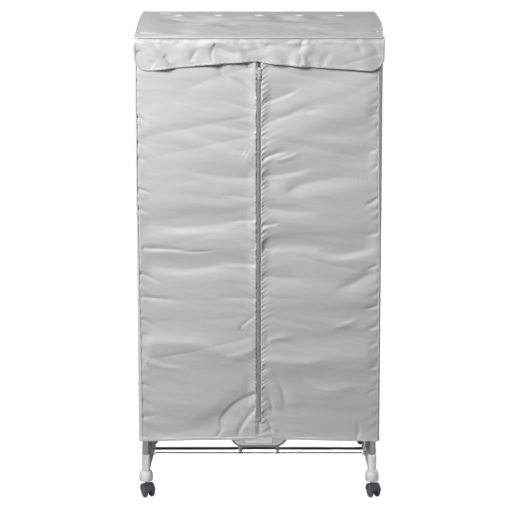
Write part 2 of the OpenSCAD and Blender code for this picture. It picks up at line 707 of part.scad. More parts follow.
// Half section of a wheel: a round tread, a sunk web and a hub cap
module wheel_half() {
    r = wheel_w/2;
    difference() {
        union() {
            translate([wheel_r - r, r]) circle(r = r);
            square([wheel_r - r, wheel_w - 1.4]);
            translate([0, wheel_w - 2.4]) square([wheel_r*0.4, 2.4]);
        }
        translate([wheel_r*0.52, wheel_w - 2.6]) square([wheel_r*0.2, 3]);
        translate([wheel_r*0.45, -1]) square([wheel_r*0.3, 3.5]);
        translate([-wheel_r, -1]) square([wheel_r + axle_d/2 - 0.2, wheel_w - 1]);
    }
}
module caster_housing_fl() caster_housing(0);
module caster_housing_fr() caster_housing(1);
module caster_housing_rl() caster_housing(2);
module caster_housing_rr() caster_housing(3);
module caster_wheels_fl() caster_wheels(0);
module caster_wheels_fr() caster_wheels(1);
module caster_wheels_rl() caster_wheels(2);
module caster_wheels_rr() caster_wheels(3);

// ---- Heater

// Front view of the housing: upright sides, rounded lower corners
module tub_front(inset, top) {
    w = heat_hw - inset;
    r = heat_corner - inset;
    z = heat_z + inset;
    n = 10;
    right = [for (i = [0:n]) let (a = -90 + 90*i/n) [w - r + r*cos(a), z + r + r*sin(a)]];
    left = [for (i = [0:n]) let (a = 180 + 90*i/n) [r - w + r*cos(a), z + r + r*sin(a)]];
    polygon(concat(right, [[w, top], [-w, top]], left));
}
rim = 6;                                   // dark rim of the tub round the panel
inlet_n = 8;                               // air slots in the floor, on each side of the middle one
inlet_pitch = 8;
inlet_hw = 36;
gland_x = 55;
gland_z = 160;
gland_r = cord_r + 2.3;

module heater_tub() color(dark) difference() {
    union() {
        difference() {
            along_y(front_y, heat_hd) tub_front(0, split_z);
            along_y(front_y + heat_wall, heat_hd - heat_wall) tub_front(heat_wall, split_z + 1);
        }
        motor_boss();
    }
    along_y(front_y - 1, front_y + heat_wall + 1) tub_front(rim, split_z + 1);
    difference() {
        for (i = [-inlet_n:inlet_n]) translate([-inlet_hw, (i - 0.25)*inlet_pitch, heat_z - 1])
            cube([2*inlet_hw, inlet_pitch/2, heat_wall + 2]);
        translate([0, 0, heat_z - 1]) cylinder(r = motor_r + 4, h = heat_wall + 2);
        translate([-2, -heat_hd, heat_z - 1]) cube([4, 2*heat_hd, heat_wall + 2]);
    }
    translate([gland_x, heat_hd, gland_z]) rod_y(gland_r + fit, 2*heat_wall);
}
motor_z = heat_z + heat_wall + 6;
module motor_boss() translate([0, 0, heat_z]) difference() {
    cylinder(r = motor_r + 2, h = motor_z - heat_z);
    translate([0, 0, -1]) cylinder(r = motor_r - 6, h = 20);
}

// The lid has rounded shoulders and a ring grille over the element
module heater_lid() color(grey) {
    shoulder = 18;
    difference() {
        along_y(front_y, heat_hd) lid_front(0, shoulder, split_z);
        along_y(front_y + heat_wall, heat_hd - heat_wall)
            lid_front(heat_wall, shoulder, split_z - 1);
        difference() {
            translate([0, 0, lid_z - heat_wall - 1]) grille_gaps(heat_wall + 2);
            for (a = [0:45:135]) rotate([0, 0, a])
                translate([-grille_r, -ring_w/2, split_z]) cube([2*grille_r, ring_w, lid_z]);
        }
    }
}
module lid_front(inset, shoulder, low) {
    w = heat_hw - inset;
    r = shoulder - inset;
    top = lid_z - inset;
    n = 6;
    right = [for (i = [0:n]) let (a = 90*i/n) [w - r + r*cos(a), top - r + r*sin(a)]];
    left = [for (i = [0:n]) let (a = 90 + 90*i/n) [r - w + r*cos(a), top - r + r*sin(a)]];
    polygon(concat([[w, low]], right, left, [[-w, low]]));
}
module grille_gaps(h) for (r = [grille_r:-ring_pitch:ring_pitch*1.5]) difference() {
    cylinder(r = r, h = h);
    translate([0, 0, -1]) cylinder(r = r - (ring_pitch - ring_w), h = h + 2);
}

// The panel's face fills the tub's front opening, its flange sits behind the rim
panel_y = front_y - 1;
panel_back = front_y + heat_wall + 2;
module control_panel() color(grey) difference() {
    union() {
        along_y(panel_y, front_y + heat_wall) tub_front(rim + 0.2, split_z - 0.2);
        along_y(front_y + heat_wall, panel_back) tub_front(heat_wall + 0.2, split_z - 0.2);
    }
    translate([knob_x, panel_y, knob_z]) rod_y(4, 12);
}

timer_l = 28;
module timer_switch() color(black) difference() {
    union() {
        translate([knob_x - 17, panel_back, knob_z - 15]) cube([34, timer_l, 30]);
        translate([knob_x, panel_back - 3, knob_z]) rod_y(3.9, 3.5);
    }
    translate([knob_x, panel_y, knob_z]) rod_y(shaft_r + run, 2*timer_l - 14);
}
shaft_r = 2.5;
knob_gap = 1.2;
module timer_knob() color(black) translate([knob_x, panel_y - knob_gap, knob_z]) rotate([90, 0, 0]) {
    difference() {
        union() {
            cylinder(r = knob_r, h = 3);
            translate([0, 0, 3]) cylinder(r1 = knob_r - 1.5, r2 = knob_r - 3, h = knob_l - 3);
        }
        for (i = [0:11]) rotate([0, 0, 30*i + 15])
            translate([knob_r + 1, 0, 4]) cylinder(r = 3, h = knob_l, $fn = 24);
    }
    translate([-1.2, 0, knob_l]) cube([2.4, knob_r - 4, 1]);
    translate([0, 0, -knob_gap - 5 - 16]) cylinder(r = shaft_r, h = knob_gap + 5 + 17);
}

// ---- Fan and element

motor_h = 34;
fan_z = motor_z + motor_h + 4;
fan_h = 20;
fan_shaft_r = 2.5;
blade_pitch = 32;
blade_w = 2*fan_h;
blade_t = 2;
module fan_motor() color(metal) difference() {
    union() {
        translate([0, 0, motor_z]) cylinder(r = motor_r, h = motor_h - 3);
        translate([0, 0, motor_z + motor_h - 3]) cylinder(r1 = motor_r, r2 = motor_r - 4, h = 2);
        translate([0, 0, motor_z]) cylinder(r = 6, h = motor_h);
    }
    translate([0, 0, motor_z + 10]) cylinder(r = fan_shaft_r + run, h = motor_h);
}
module fan_impeller() color(black) {
    translate([0, 0, fan_z]) difference() {
        cylinder(r = hub_r, h = fan_h);
        translate([0, 0, -1]) pipe(hub_r - 2, 5, fan_h - 2);
    }
    translate([0, 0, motor_z + 12]) cylinder(r = fan_shaft_r, h = fan_z + fan_h - motor_z - 14);
    intersection() {
        translate([0, 0, fan_z]) pipe(fan_r, hub_r - 1, fan_h);
        for (i = [0:fan_n - 1]) rotate([0, 0, 360*i/fan_n]) translate([hub_r - 1, 0, fan_z + fan_h/2])
            rotate([blade_pitch, 0, 0]) translate([0, -blade_w/2, -blade_t/2])
                cube([fan_r, blade_w, blade_t]);
    }
}

// Finned element between two side brackets that stand on the lid's walls
element_z = split_z + 8;
element_h = 14;
element_y = 24;                            // each long bar's middle line
bar_t = 4;
fin_n = 26;
fin_t = 1;
module heating_element() color(metal) {
    reach = heat_hw - heat_wall;
    fin_x = reach - element_h*0.7;
    for (s = [-1, 1]) {
        translate([-reach, s*element_y - bar_t/2, element_z]) cube([2*reach, bar_t, element_h]);
        translate([s*(reach - bar_t/4) - bar_t/4, -element_y*1.25, element_z])
            cube([bar_t/2, element_y*2.5, element_h]);
    }
    translate([bar_t/2 - reach, -bar_t, element_z + 2*fin_t])
        cube([2*reach - bar_t, 2*bar_t, element_h - 4*fin_t]);
    for (i = [0:fin_n]) translate([(2*i/fin_n - 1)*fin_x - fin_t/2, fin_t - element_y, element_z + fin_t])
        cube([fin_t, 2*(element_y - fin_t), element_h - 2*fin_t]);
}

// Clips under the tub that snap over the rods
clip_mouth = 7;                            // the clips are open below this depth under the rods' middle
module rod_clips() color(dark) for (s = [-1, 1]) for (t = [-1, 1]) {
    difference() {
        along_x(s*clip_x - clip_w/2, s*clip_x + clip_w/2) difference() {
            union() {
                translate([t*rod_y, rod_z]) circle(r = tube_r + 3);
                translate([t*rod_y - tube_r - 3, rod_z]) square([2*tube_r + 6, heat_over + 10]);
            }
            translate([t*rod_y - clip_w*2, rod_z - clip_w*2 - clip_mouth]) square([clip_w*4, clip_w*2]);
        }
        translate([0, t*rod_y, rod_z]) rod_x(tube_r + fit, heat_hw);
        along_y(-heat_hd*2, heat_hd*2) tub_front(0, split_z);
    }
}

// Gland for the supply cord: flange outside, nut inside, bore right through
module cord_gland() color(black) translate([gland_x, heat_hd, gland_z]) rotate([90, 0, 0])
    difference() {
        union() {
            translate([0, 0, -2.5]) cylinder(r = gland_r + 3, h = 2.5);
            translate([0, 0, -2]) cylinder(r = gland_r, h = heat_wall + 5);
            translate([0, 0, heat_wall]) cylinder(r = gland_r + 2.4, h = 3, $fn = 6);
        }
        translate([0, 0, -4*heat_wall]) cylinder(r = cord_r, h = 12*heat_wall);
    }

// ---- Drawing

base_arch_left();
base_arch_right();
base_rod_front();
base_rod_rear();
lower_upright_fl();
lower_upright_fr();
lower_upright_rl();
lower_upright_rr();
upright_couplers();
upper_upright_fl();
upper_upright_fr();
upper_upright_rl();
upper_upright_rr();
corner_elbow_fl();
corner_elbow_fr();
corner_elbow_rl();
corner_elbow_rr();
top_rail_left();
top_rail_right();
top_rail_front();
top_rail_rear();
hanging_rail_front();
hanging_rail_rear();
rail_saddles();
caster_stems();
heater_tub();
heater_lid();
control_panel();
timer_switch();
fan_motor();
heating_element();
rod_clips();
cord_gland();
fan_impeller();
timer_knob();
cover_roof();
cover_back();
cover_side_left();
cover_side_right();
cover_header();
cover_sill();
cover_piping();
roof_eyelets();
zip_bottom_stop();
front_flap();
flap_binding();
door_left();
door_right();
zip_tape_left();
zip_tape_right();
zip_slider();
zip_pull();
caster_housing_fl();
caster_housing_fr();
caster_housing_rl();
caster_housing_rr();
caster_wheels_fl();
caster_wheels_fr();
caster_wheels_rl();
caster_wheels_rr();
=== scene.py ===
# %% [markdown]
# A clothes drying cabinet: a silver-grey cloth cover over a chrome frame, with a fan heater below.
# The rigid pieces come ready made, as a fixed frame in metres with the zipped front towards -Y.
# What this lesson adds is everything that is cloth, the zip's teeth, the threads, the small
# markings, and a finish for each surface.

# %% Load the fixed frame
import math
import bpy
import numpy as np
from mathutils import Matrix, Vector


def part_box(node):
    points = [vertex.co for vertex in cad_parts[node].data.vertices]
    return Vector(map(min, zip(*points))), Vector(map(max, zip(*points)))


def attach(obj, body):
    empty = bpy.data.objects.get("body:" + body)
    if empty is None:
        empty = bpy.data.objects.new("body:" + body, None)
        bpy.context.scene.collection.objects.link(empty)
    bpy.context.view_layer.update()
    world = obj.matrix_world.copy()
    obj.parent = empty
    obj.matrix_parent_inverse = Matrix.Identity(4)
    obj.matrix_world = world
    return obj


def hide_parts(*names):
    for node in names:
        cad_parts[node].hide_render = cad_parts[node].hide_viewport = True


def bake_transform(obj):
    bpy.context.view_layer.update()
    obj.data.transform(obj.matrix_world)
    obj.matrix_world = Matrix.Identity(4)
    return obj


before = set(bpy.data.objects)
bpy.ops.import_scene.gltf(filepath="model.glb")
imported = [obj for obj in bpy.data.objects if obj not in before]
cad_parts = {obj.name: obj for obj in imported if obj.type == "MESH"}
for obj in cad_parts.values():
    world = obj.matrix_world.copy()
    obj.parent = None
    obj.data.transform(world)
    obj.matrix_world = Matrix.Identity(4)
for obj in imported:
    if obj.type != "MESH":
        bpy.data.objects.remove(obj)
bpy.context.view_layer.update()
MM = 0.001

# %% [markdown]
# The photograph was taken from far away with a long lens, a little above the top of the cabinet and
# tilted down. A long lens keeps upright lines almost parallel, so the camera is set back almost six
# metres, and the lens is chosen so that the cabinet fills the frame as it does there.

# %% Camera
cover_front = -240*MM                    # the plane of the zipped front
camera_back = 5768*MM                    # from that plane
camera_height = 2263*MM
camera_side = -4.3*MM
camera_tilt = math.radians(14.94)        # downwards
frame_px = 515                           # width of the photograph
focal_px = 2121.5

camera_data = bpy.data.cameras.new("Camera")
camera_data.sensor_width = 36.0
camera_data.lens = 36.0*focal_px/frame_px
camera = bpy.data.objects.new("Camera", camera_data)
camera.location = (camera_side, cover_front - camera_back, camera_height)
camera.rotation_euler = (math.pi/2 - camera_tilt, 0, 0)
bpy.context.scene.collection.objects.link(camera)
bpy.context.scene.camera = camera
print("lens", round(camera_data.lens, 1), "mm")

# %% [markdown]
# Most pieces here are grids of points pushed about by a formula, so the first helpers turn arrays
# of points into meshes. A sheet of cloth is one layer of faces, and a Solidify modifier gives it
# its thickness on the inner side, so the outer face stays where the formula puts it.

# %% Mesh helpers
def piece(name, points, faces, material, body, slot, smooth=True):
    """A mesh object from points and faces, with one material, that rides on a body."""
    mesh = bpy.data.meshes.new(name)
    mesh.from_pydata(np.asarray(points, float).reshape(-1, 3).tolist(), [], faces)
    mesh.polygons.foreach_set("use_smooth", [smooth]*len(mesh.polygons))
    mesh.materials.append(material)
    mesh.update()
    obj = bpy.data.objects.new(name, mesh)
    bpy.context.scene.collection.objects.link(obj)
    if body:
        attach(obj, body)
    return obj


def grid_faces(rows, columns, keep=None):
    """Quads of a grid of points, row after row. keep says which quads stay."""
    faces = []
    for i in range(rows - 1):
        for j in range(columns - 1):
            if keep is None or keep[i, j]:
                a = i*columns + j
                faces.append((a, a + columns, a + columns + 1, a + 1))
    return faces


def thicken(obj, thickness):
    """Gives a sheet its thickness, inwards. A sharp border keeps the rim from shading the face."""
    mesh = obj.data
    edge_of_corner = np.zeros(len(mesh.loops), int)
    mesh.loops.foreach_get("edge_index", edge_of_corner)
    border = np.bincount(edge_of_corner, minlength=len(mesh.edges)) == 1
    mesh.edges.foreach_set("use_edge_sharp", border)
    solid = obj.modifiers.new("thickness", "SOLIDIFY")
    solid.thickness = thickness
    solid.offset = -1
    return obj


# %% [markdown]
# Piping, bindings and zip coils are all one section drawn along a path. Sweeping needs a frame of
# two directions at each point of the path: here one is given, such as up for a hem, and the other is
# square to it and to the path.

# %% Sweep helper
def tangents(path, closed=False):
    ahead = np.roll(path, -1, 0) - path if closed else np.gradient(path, axis=0)
    if closed:
        ahead = ahead + np.roll(ahead, 1, 0)
    return ahead/np.linalg.norm(ahead, axis=1)[:, None]


def tube_faces(rings, sides, closed=False):
    """Faces of a tube of rings of points, with a face on each end unless it is closed."""
    faces = []
    for i in range(rings if closed else rings - 1):
        a, b = i*sides, (i + 1) % rings*sides
        for j in range(sides):
            k = (j + 1) % sides
            faces.append((a + j, a + k, b + k, b + j))
    if not closed:
        faces.append(tuple(range(sides))[::-1])
        faces.append(tuple(range((rings - 1)*sides, rings*sides)))
    return faces


def copied(faces, count, size):
    """The faces of many copies of a shape that has this number of points."""
    return [tuple(k*size + i for i in face) for k in range(count) for face in faces]


def sweep(path, section, up, closed=False):
    """Points and faces of a section, a list of (out, up), drawn along a path of points."""
    path, section = np.asarray(path, float), np.asarray(section, float)
    forward = tangents(path, closed)
    up = np.broadcast_to(np.asarray(up, float), path.shape)
    out = np.cross(forward, up)
    out = out/np.linalg.norm(out, axis=1)[:, None]
    up = np.cross(out, forward)
    points = (path[:, None] + section[None, :, :1]*out[:, None] + section[None, :, 1:]*up[:, None])
    return points.reshape(-1, 3), tube_faces(len(path), len(section), closed)


def oval(half_out, half_up, sides=10, squareness=1.0):
    """A round section, or a squarer one where squareness is under 1."""
    a = np.arange(sides)*2*math.pi/sides
    c, s = np.cos(a), np.sin(a)
    return np.stack([half_out*np.sign(c)*abs(c)**squareness, half_up*np.sign(s)*abs(s)**squareness], 1)


BLOCK_FACES = [(3, 2, 1, 0), (4, 5, 6, 7), (0, 1, 5, 4), (1, 2, 6, 5), (2, 3, 7, 6), (3, 0, 4, 7)]


def block(middle, half):
    """Points and faces of a box along the axes."""
    corners = [(a, b, c) for c in (-1, 1) for a, b in ((-1, -1), (1, -1), (1, 1), (-1, 1))]
    return np.array(middle) + np.array(corners)*np.array(half), BLOCK_FACES


def joined(parts):
    """Several (points, faces) in one."""
    points, faces, first = [], [], 0
    for p, f in parts:
        points.append(p)
        faces += [tuple(first + k for k in q) for q in f]
        first += len(p)
    return np.concatenate(points), faces


# %% [markdown]
# Cloth is never even. A smooth random field, stretched more one way than the other, gives the long
# shallow ripples between two seams. It is made from a table of seeded random numbers, so each run
# gives the same cloth.

# %% Random fields and soft steps
TABLE_SIZE = 64


def rise(t):
    """From 0 to 1 without corners."""
    t = np.clip(t, 0, 1)
    return t*t*(3 - 2*t)


def field(x, z, seed):
    """Smooth random numbers from -1 to 1, with one bump to a unit square."""
    table = np.random.default_rng(seed).uniform(-1, 1, (TABLE_SIZE, TABLE_SIZE))
    i, j = np.floor(x).astype(int), np.floor(z).astype(int)
    u, v = rise(x - i), rise(z - j)
    n = lambda a, b: table[(i + a) % TABLE_SIZE, (j + b) % TABLE_SIZE]
    return (n(0, 0)*(1 - u) + n(1, 0)*u)*(1 - v) + (n(0, 1)*(1 - u) + n(1, 1)*u)*v


def ripples(x, z, long, short, seed):
    """Two layers of long shallow ripples."""
    return field(x/long, z/short, seed) + 0.4*field(x/long*2.1, z/short*2.3, seed + 1)


def sharp(x, z, long, short, seed):
    """Ripples with narrow crests between wide hollows, from 0 to 1."""
    return (1 - abs(field(x/long, z/short, seed)))**3


# %% [markdown]
# A crease in taut cloth is a narrow valley with a soft bank on each side, and it dies away towards
# one end or both. Each is drawn here as a stroke: a few points on the cloth, a depth, and the width
# of the bank on each side. A negative depth makes a ridge.

# %% Creases
def crease(x, z, x0, z0, x1, z1, x2, z2, depth, bank_left, bank_right, fade_first, fade_last):
    """Height of a crease at each (x, z). The banks are on the left and right of its direction."""
    knots = np.array([(x0, z0), (x1, z1), (x2, z2)])*MM
    t = np.linspace(0, 1, 33)
    pull = 2*knots[1] - (knots[0] + knots[2])/2                 # so that the curve meets the middle point
    line = np.outer((1 - t)**2, knots[0]) + np.outer(2*t*(1 - t), pull) + np.outer(t**2, knots[2])
    reach = max(bank_left, bank_right)*MM
    near = ((x > line[:, 0].min() - reach) & (x < line[:, 0].max() + reach)
            & (z > line[:, 1].min() - reach) & (z < line[:, 1].max() + reach))
    height = np.zeros_like(x)
    if not near.any():
        return height
    px, pz = x[near], z[near]
    dx, dz = px[:, None] - line[None, :, 0], pz[:, None] - line[None, :, 1]
    away = dx*dx + dz*dz
    k = away.argmin(1)
    row = np.arange(len(k))
    along = tangents(line)[k]
    side = along[:, 0]*dz[row, k] - along[:, 1]*dx[row, k]
    soft = (0.5 + 0.07*min(bank_left, bank_right))*MM           # how round the bottom is
    distance = np.sqrt(away[row, k] + soft**2) - soft
    bank = np.where(side > 0, bank_left, bank_right)*MM
    profile = np.clip(1 - distance/bank, 0, 1)**2
    if fade_first:
        profile = profile*rise(t[k]/fade_first)
    if fade_last:
        profile = profile*rise((1 - t[k])/fade_last)
    height[near] = -depth*MM*profile
    return height


# %% [markdown]
# An effect that several materials share is a node group. The helper below places one node at a
# time and takes sockets as inputs, so that a group reads like a formula. Groups put out only
# colours, masks and heights: the shader stays in the material.

# %% Node helpers
def node(tree, kind, inputs=None, **settings):
    """One node, with its inputs set to values or linked to sockets."""
    made = tree.nodes.new("ShaderNode" + kind)
    for key, value in settings.items():
        setattr(made, key, value)
    for key, value in (inputs or {}).items():
        if isinstance(value, bpy.types.NodeSocket):
            tree.links.new(value, made.inputs[key])
        else:
            made.inputs[key].default_value = value
    return made


def calc(tree, operation, a, b=0.0):
    return node(tree, "Math", {0: a, 1: b}, operation=operation).outputs[0]


def times(tree, a, b):
    return calc(tree, "MULTIPLY", a, b)


def plus(tree, a, b):
    return calc(tree, "ADD", a, b)


def new_group(name, inputs, outputs):
    """An empty group with named sockets. Inputs are (name, kind, value), outputs (name, kind)."""
    tree = bpy.data.node_groups.new(name, "ShaderNodeTree")
    for title, kind, value in inputs:
        socket = tree.interface.new_socket(title, in_out="INPUT", socket_type="NodeSocket" + kind)
        socket.default_value = value
    for title, kind in outputs:
        tree.interface.new_socket(title, in_out="OUTPUT", socket_type="NodeSocket" + kind)
    return tree, tree.nodes.new("NodeGroupInput").outputs, tree.nodes.new("NodeGroupOutput").inputs


def use(tree, group, **inputs):
    """A group placed in a material, with its own values."""
    placed = tree.nodes.new("ShaderNodeGroup")
    placed.node_tree = group
    for key, value in inputs.items():
        socket = placed.inputs[key.replace("_", " ")]
        if isinstance(value, bpy.types.NodeSocket):
            tree.links.new(value, socket)
        else:
            socket.default_value = value
    return placed.outputs


def tinted(color):
    return (*color, 1.0)


# %% [markdown]
# Woven cloth close up is a grid of over-and-under threads. Three pairs of sine waves, one for each
# pair of axes, give that grid on a wall, a side and a roof alike, without any unwrapping. A finer
# noise breaks its evenness, as spun yarn does.

# %% Group: plain weave
def make_weave():
    tree, given, result = new_group(
        "Plain weave", [("Threads per metre", "Float", 900.0), ("Unevenness", "Float", 0.4)],
        [("Height", "Float"), ("Mask", "Float")])
    place = node(tree, "TexCoord").outputs["Object"]
    turn = times(tree, given["Threads per metre"], math.pi)
    axes = node(tree, "SeparateXYZ", {0: place}).outputs
    waves = [calc(tree, "SINE", times(tree, axes[k], turn)) for k in range(3)]
    pairs = [times(tree, waves[a], waves[b]) for a, b in ((0, 2), (1, 2), (0, 1))]
    total = plus(tree, plus(tree, pairs[0], pairs[1]), pairs[2])
    slub = node(tree, "TexNoise", {"Vector": place, "Scale": 420.0, "Detail": 2.0}).outputs[0]
    uneven = times(tree, calc(tree, "SUBTRACT", slub, 0.5), given["Unevenness"])
    height = plus(tree, times(tree, total, 0.4), uneven)
    tree.links.new(height, result["Height"])
    # The mask runs with the height, and the cloth materials use it to paint the tops of the threads paler
    # than the gaps.
    tree.links.new(plus(tree, times(tree, height, 0.5), 0.5), result["Mask"])
    return tree


weave_group = make_weave()

# %% [markdown]
# Nothing large is one even colour: coated cloth clouds where it was folded, plastic varies with its
# flow in the mould. This group lightens and darkens a colour a few percent over patches whose size
# the material sets.

# %% Group: clouded colour
def make_clouds():
    tree, given, result = new_group(
        "Clouded colour",
        [("Color", "Color", (0.5, 0.5, 0.5, 1.0)), ("Amount", "Float", 0.06), ("Scale", "Float", 6.0)],
        [("Color", "Color"), ("Mask", "Float")])
    place = node(tree, "TexCoord").outputs["Object"]
    noise = node(tree, "TexNoise",
                 {"Vector": place, "Scale": given["Scale"], "Detail": 3.0, "Roughness": 0.55}).outputs[0]
    swing = times(tree, calc(tree, "SUBTRACT", noise, 0.5), times(tree, given["Amount"], 2.0))
    value = plus(tree, swing, 1.0)
    shade = node(tree, "HueSaturation", {"Value": value, "Color": given["Color"]}).outputs[0]
    tree.links.new(shade, result["Color"])
    tree.links.new(noise, result["Mask"])
    return tree


clouds_group = make_clouds()

# %% [markdown]
# Injection moulded plastic has a spark-eroded grain from its mould. It is fine noise used as height.

# %% Group: moulded grain
def make_grain():
    tree, given, result = new_group(
        "Moulded grain", [("Scale", "Float", 900.0), ("Softness", "Float", 0.5)], [("Height", "Float")])
    place = node(tree, "TexCoord").outputs["Object"]
    fine = node(tree, "TexNoise",
                {"Vector": place, "Scale": given["Scale"], "Detail": 2.0, "Roughness": given["Softness"]})
    broad = node(tree, "TexNoise", {"Vector": place, "Scale": 14.0, "Detail": 1.0})
    height = plus(tree, fine.outputs[0], times(tree, broad.outputs[0], 0.6))
    tree.links.new(height, result["Height"])
    return tree


grain_group = make_grain()

# %% [markdown]
# Scuffs are thin streaks where things have rubbed. Noise stretched along one axis and cut off high
# leaves a few separate streaks, which roughen the surface and lift its colour a little.

# %% Group: scuffs
def make_scuffs():
    tree, given, result = new_group(
        "Scuffs", [("Scale", "Float", 60.0), ("Amount", "Float", 0.3), ("Stretch", "Float", 8.0)],
        [("Mask", "Float")])
    place = node(tree, "TexCoord").outputs["Object"]
    squeeze = node(tree, "CombineXYZ", {0: 1.0, 1: 1.0, 2: given["Stretch"]}).outputs[0]
    drawn = node(tree, "VectorMath", {0: place, 1: squeeze}, operation="MULTIPLY").outputs[0]
    noise = node(tree, "TexNoise", {"Vector": drawn, "Scale": given["Scale"], "Detail": 4.0}).outputs[0]
    cut = node(tree, "MapRange",
               {"Value": noise, "From Min": 0.58, "From Max": 0.72, "To Max": given["Amount"]}).outputs[0]
    tree.links.new(cut, result["Mask"])
    return tree


scuffs_group = make_scuffs()

# %% [markdown]
# Dust from the floor settles on whatever is near it. The mask is strongest at the floor, gone at the
# given height, and broken up by noise.

# %% Group: floor dust
def make_dust():
    tree, given, result = new_group(
        "Floor dust", [("Height", "Float", 0.06), ("Amount", "Float", 0.3)], [("Mask", "Float")])
    place = node(tree, "TexCoord").outputs["Object"]
    up = node(tree, "SeparateXYZ", {0: place}).outputs[2]
    low = node(tree, "MapRange",
               {"Value": up, "From Min": 0.0, "From Max": given["Height"], "To Min": 1.0,
                "To Max": 0.0}).outputs[0]
    noise = node(tree, "TexNoise", {"Vector": place, "Scale": 160.0, "Detail": 3.0}).outputs[0]
    mask = times(tree, times(tree, low, noise), given["Amount"])
    tree.links.new(mask, result["Mask"])
    return tree


dust_group = make_dust()

# %% [markdown]
# The cover is polyester with a silver-grey coating: a dull shine, a little softer than plastic. Its
# colour is clouded, its weave shows as bump, and the tops of the threads are painted a shade paler
# than the gaps, as painted light and shade. Sheen gives the faint pale edge that cloth has where it
# turns away. The roof has its own copy of the cloth, with almost no shine and a colour a shade paler,
# as painted tone for how the lamps light the top.

# %% Cloth materials
def new_material(name):
    material = bpy.data.materials.new(name)
    material.use_nodes = True
    tree = material.node_tree
    return material, tree, tree.nodes["Principled BSDF"]


def link_surface(tree, shader, color, roughness, bump):
    """Links the colour, the roughness and the relief of a material to its shader."""
    for socket, value in (("Base Color", color), ("Roughness", roughness), ("Normal", bump.outputs[0])):
        tree.links.new(value, shader.inputs[socket])


def cloth_material(name, color, threads, weave_height, roughness, sheen, shine=0.4):
    material, tree, shader = new_material(name)
    weave = use(tree, weave_group, Threads_per_metre=threads, Unevenness=0.6)
    clouds = use(tree, clouds_group, Color=tinted(color), Amount=0.035, Scale=7.0)
    # Painted light and shade: the tops of the threads get a paler colour than the gaps between them.
    crown_highlight = tinted([c*1.05 for c in color])
    painted_weave_light = node(tree, "MixRGB", {"Fac": weave["Mask"], "Color1": clouds["Color"], "Color2": crown_highlight})
    rough = node(tree, "MapRange",
                 {"Value": clouds["Mask"], "To Min": roughness - 0.05, "To Max": roughness + 0.06}).outputs[0]
    bump = node(tree, "Bump", {"Height": weave["Height"], "Distance": weave_height, "Strength": 0.5})
    link_surface(tree, shader, painted_weave_light.outputs[0], rough, bump)
    shader.inputs["Sheen Weight"].default_value = sheen
    shader.inputs["Sheen Roughness"].default_value = 0.45
    shader.inputs["Specular IOR Level"].default_value = shine
    return material


silver_grey = (0.52, 0.52, 0.522)
cover_material = cloth_material("Silver-grey coated cloth", silver_grey, 1000, 0.10*MM, 0.46, 0.12)
# Painted tone for the top: the roof's copy of the cover cloth has almost no shine and a colour 6% paler, set
# for how the lamps light it.
roof_toned_cloth = cloth_material("Roof cloth toned for its light", [c*1.06 for c in silver_grey], 1000, 0.10*MM, 0.60, 0.03,
                               shine=0.02)
binding_material = cloth_material("Cloth binding", [c*0.98 for c in silver_grey], 1400, 0.14*MM, 0.55, 0.12)
tape_material = cloth_material("Woven zip tape", (0.33, 0.335, 0.34), 1600, 0.2*MM, 0.7, 0.2)
thread_material = cloth_material("Sewing thread", (0.44, 0.44, 0.445), 4000, 0.05*MM, 0.6, 0.2)

# %% [markdown]
# The plastics are one recipe with different colours: light grey feet and fittings, the dark grey tub,
# and black for the knob and fan. Scuffs roughen them, and dust greys whatever is near the floor.

# %% Plastic materials
def plastic_material(name, color, roughness, grain, scuffs=0.25, dust=0.0, coat=0.0):
    material, tree, shader = new_material(name)
    clouds = use(tree, clouds_group, Color=tinted(color), Amount=0.03, Scale=22.0)
    marks = use(tree, scuffs_group, Scale=55.0, Amount=scuffs, Stretch=0.35)["Mask"]
    worn = node(tree, "MixRGB",
                {"Fac": times(tree, marks, 0.3), "Color1": clouds["Color"],
                 "Color2": tinted([min(1, c*1.3 + 0.03) for c in color])}).outputs[0]
    settled = use(tree, dust_group, Height=0.07, Amount=dust)["Mask"]
    dusty = node(tree, "MixRGB", {"Fac": settled, "Color1": worn, "Color2": (0.33, 0.32, 0.30, 1)})
    rough = plus(tree, times(tree, marks, 0.2), roughness)
    rougher = plus(tree, times(tree, settled, 0.4), rough)
    height = use(tree, grain_group, Scale=800.0, Softness=0.5)["Height"]
    bump = node(tree, "Bump", {"Height": height, "Distance": grain, "Strength": 0.35})
    link_surface(tree, shader, dusty.outputs[0], rougher, bump)
    shader.inputs["Coat Weight"].default_value = coat
    shader.inputs["Coat Roughness"].default_value = 0.15
    return material


grey_plastic = plastic_material("Light grey plastic", (0.50, 0.50, 0.495), 0.38, 0.12*MM, dust=0.1)
dark_plastic = plastic_material("Dark grey plastic", (0.115, 0.128, 0.138), 0.36, 0.15*MM)
black_plastic = plastic_material("Black plastic", (0.018, 0.019, 0.022), 0.42, 0.2*MM)
caster_plastic = plastic_material("Caster housing plastic", (0.022, 0.028, 0.048), 0.33, 0.1*MM, dust=0.25)
wheel_plastic = plastic_material("Wheel nylon", (0.040, 0.046, 0.056), 0.30, 0.08*MM, dust=0.55, coat=0.2)

# %% [markdown]
# Chrome is a mirror with almost no colour, and only very fine polishing marks and a few dull
# patches show that it isn't perfect. Nickel and zinc parts are duller, and aluminium fins duller still.

# %% Metal materials
def metal_material(name, color, roughness, spread, scuffs, stretch):
    material, tree, shader = new_material(name)
    marks = use(tree, scuffs_group, Scale=90.0, Amount=scuffs, Stretch=stretch)["Mask"]
    clouds = use(tree, clouds_group, Color=tinted(color), Amount=0.02, Scale=30.0)
    rough = node(tree, "MapRange",
                 {"Value": clouds["Mask"], "To Min": roughness, "To Max": roughness + spread}).outputs[0]
    rougher = plus(tree, rough, times(tree, marks, 0.25))
    bump = node(tree, "Bump", {"Height": marks, "Distance": 0.02*MM, "Strength": 0.2})
    link_surface(tree, shader, clouds["Color"], rougher, bump)
    shader.inputs["Metallic"].default_value = 1.0
    return material


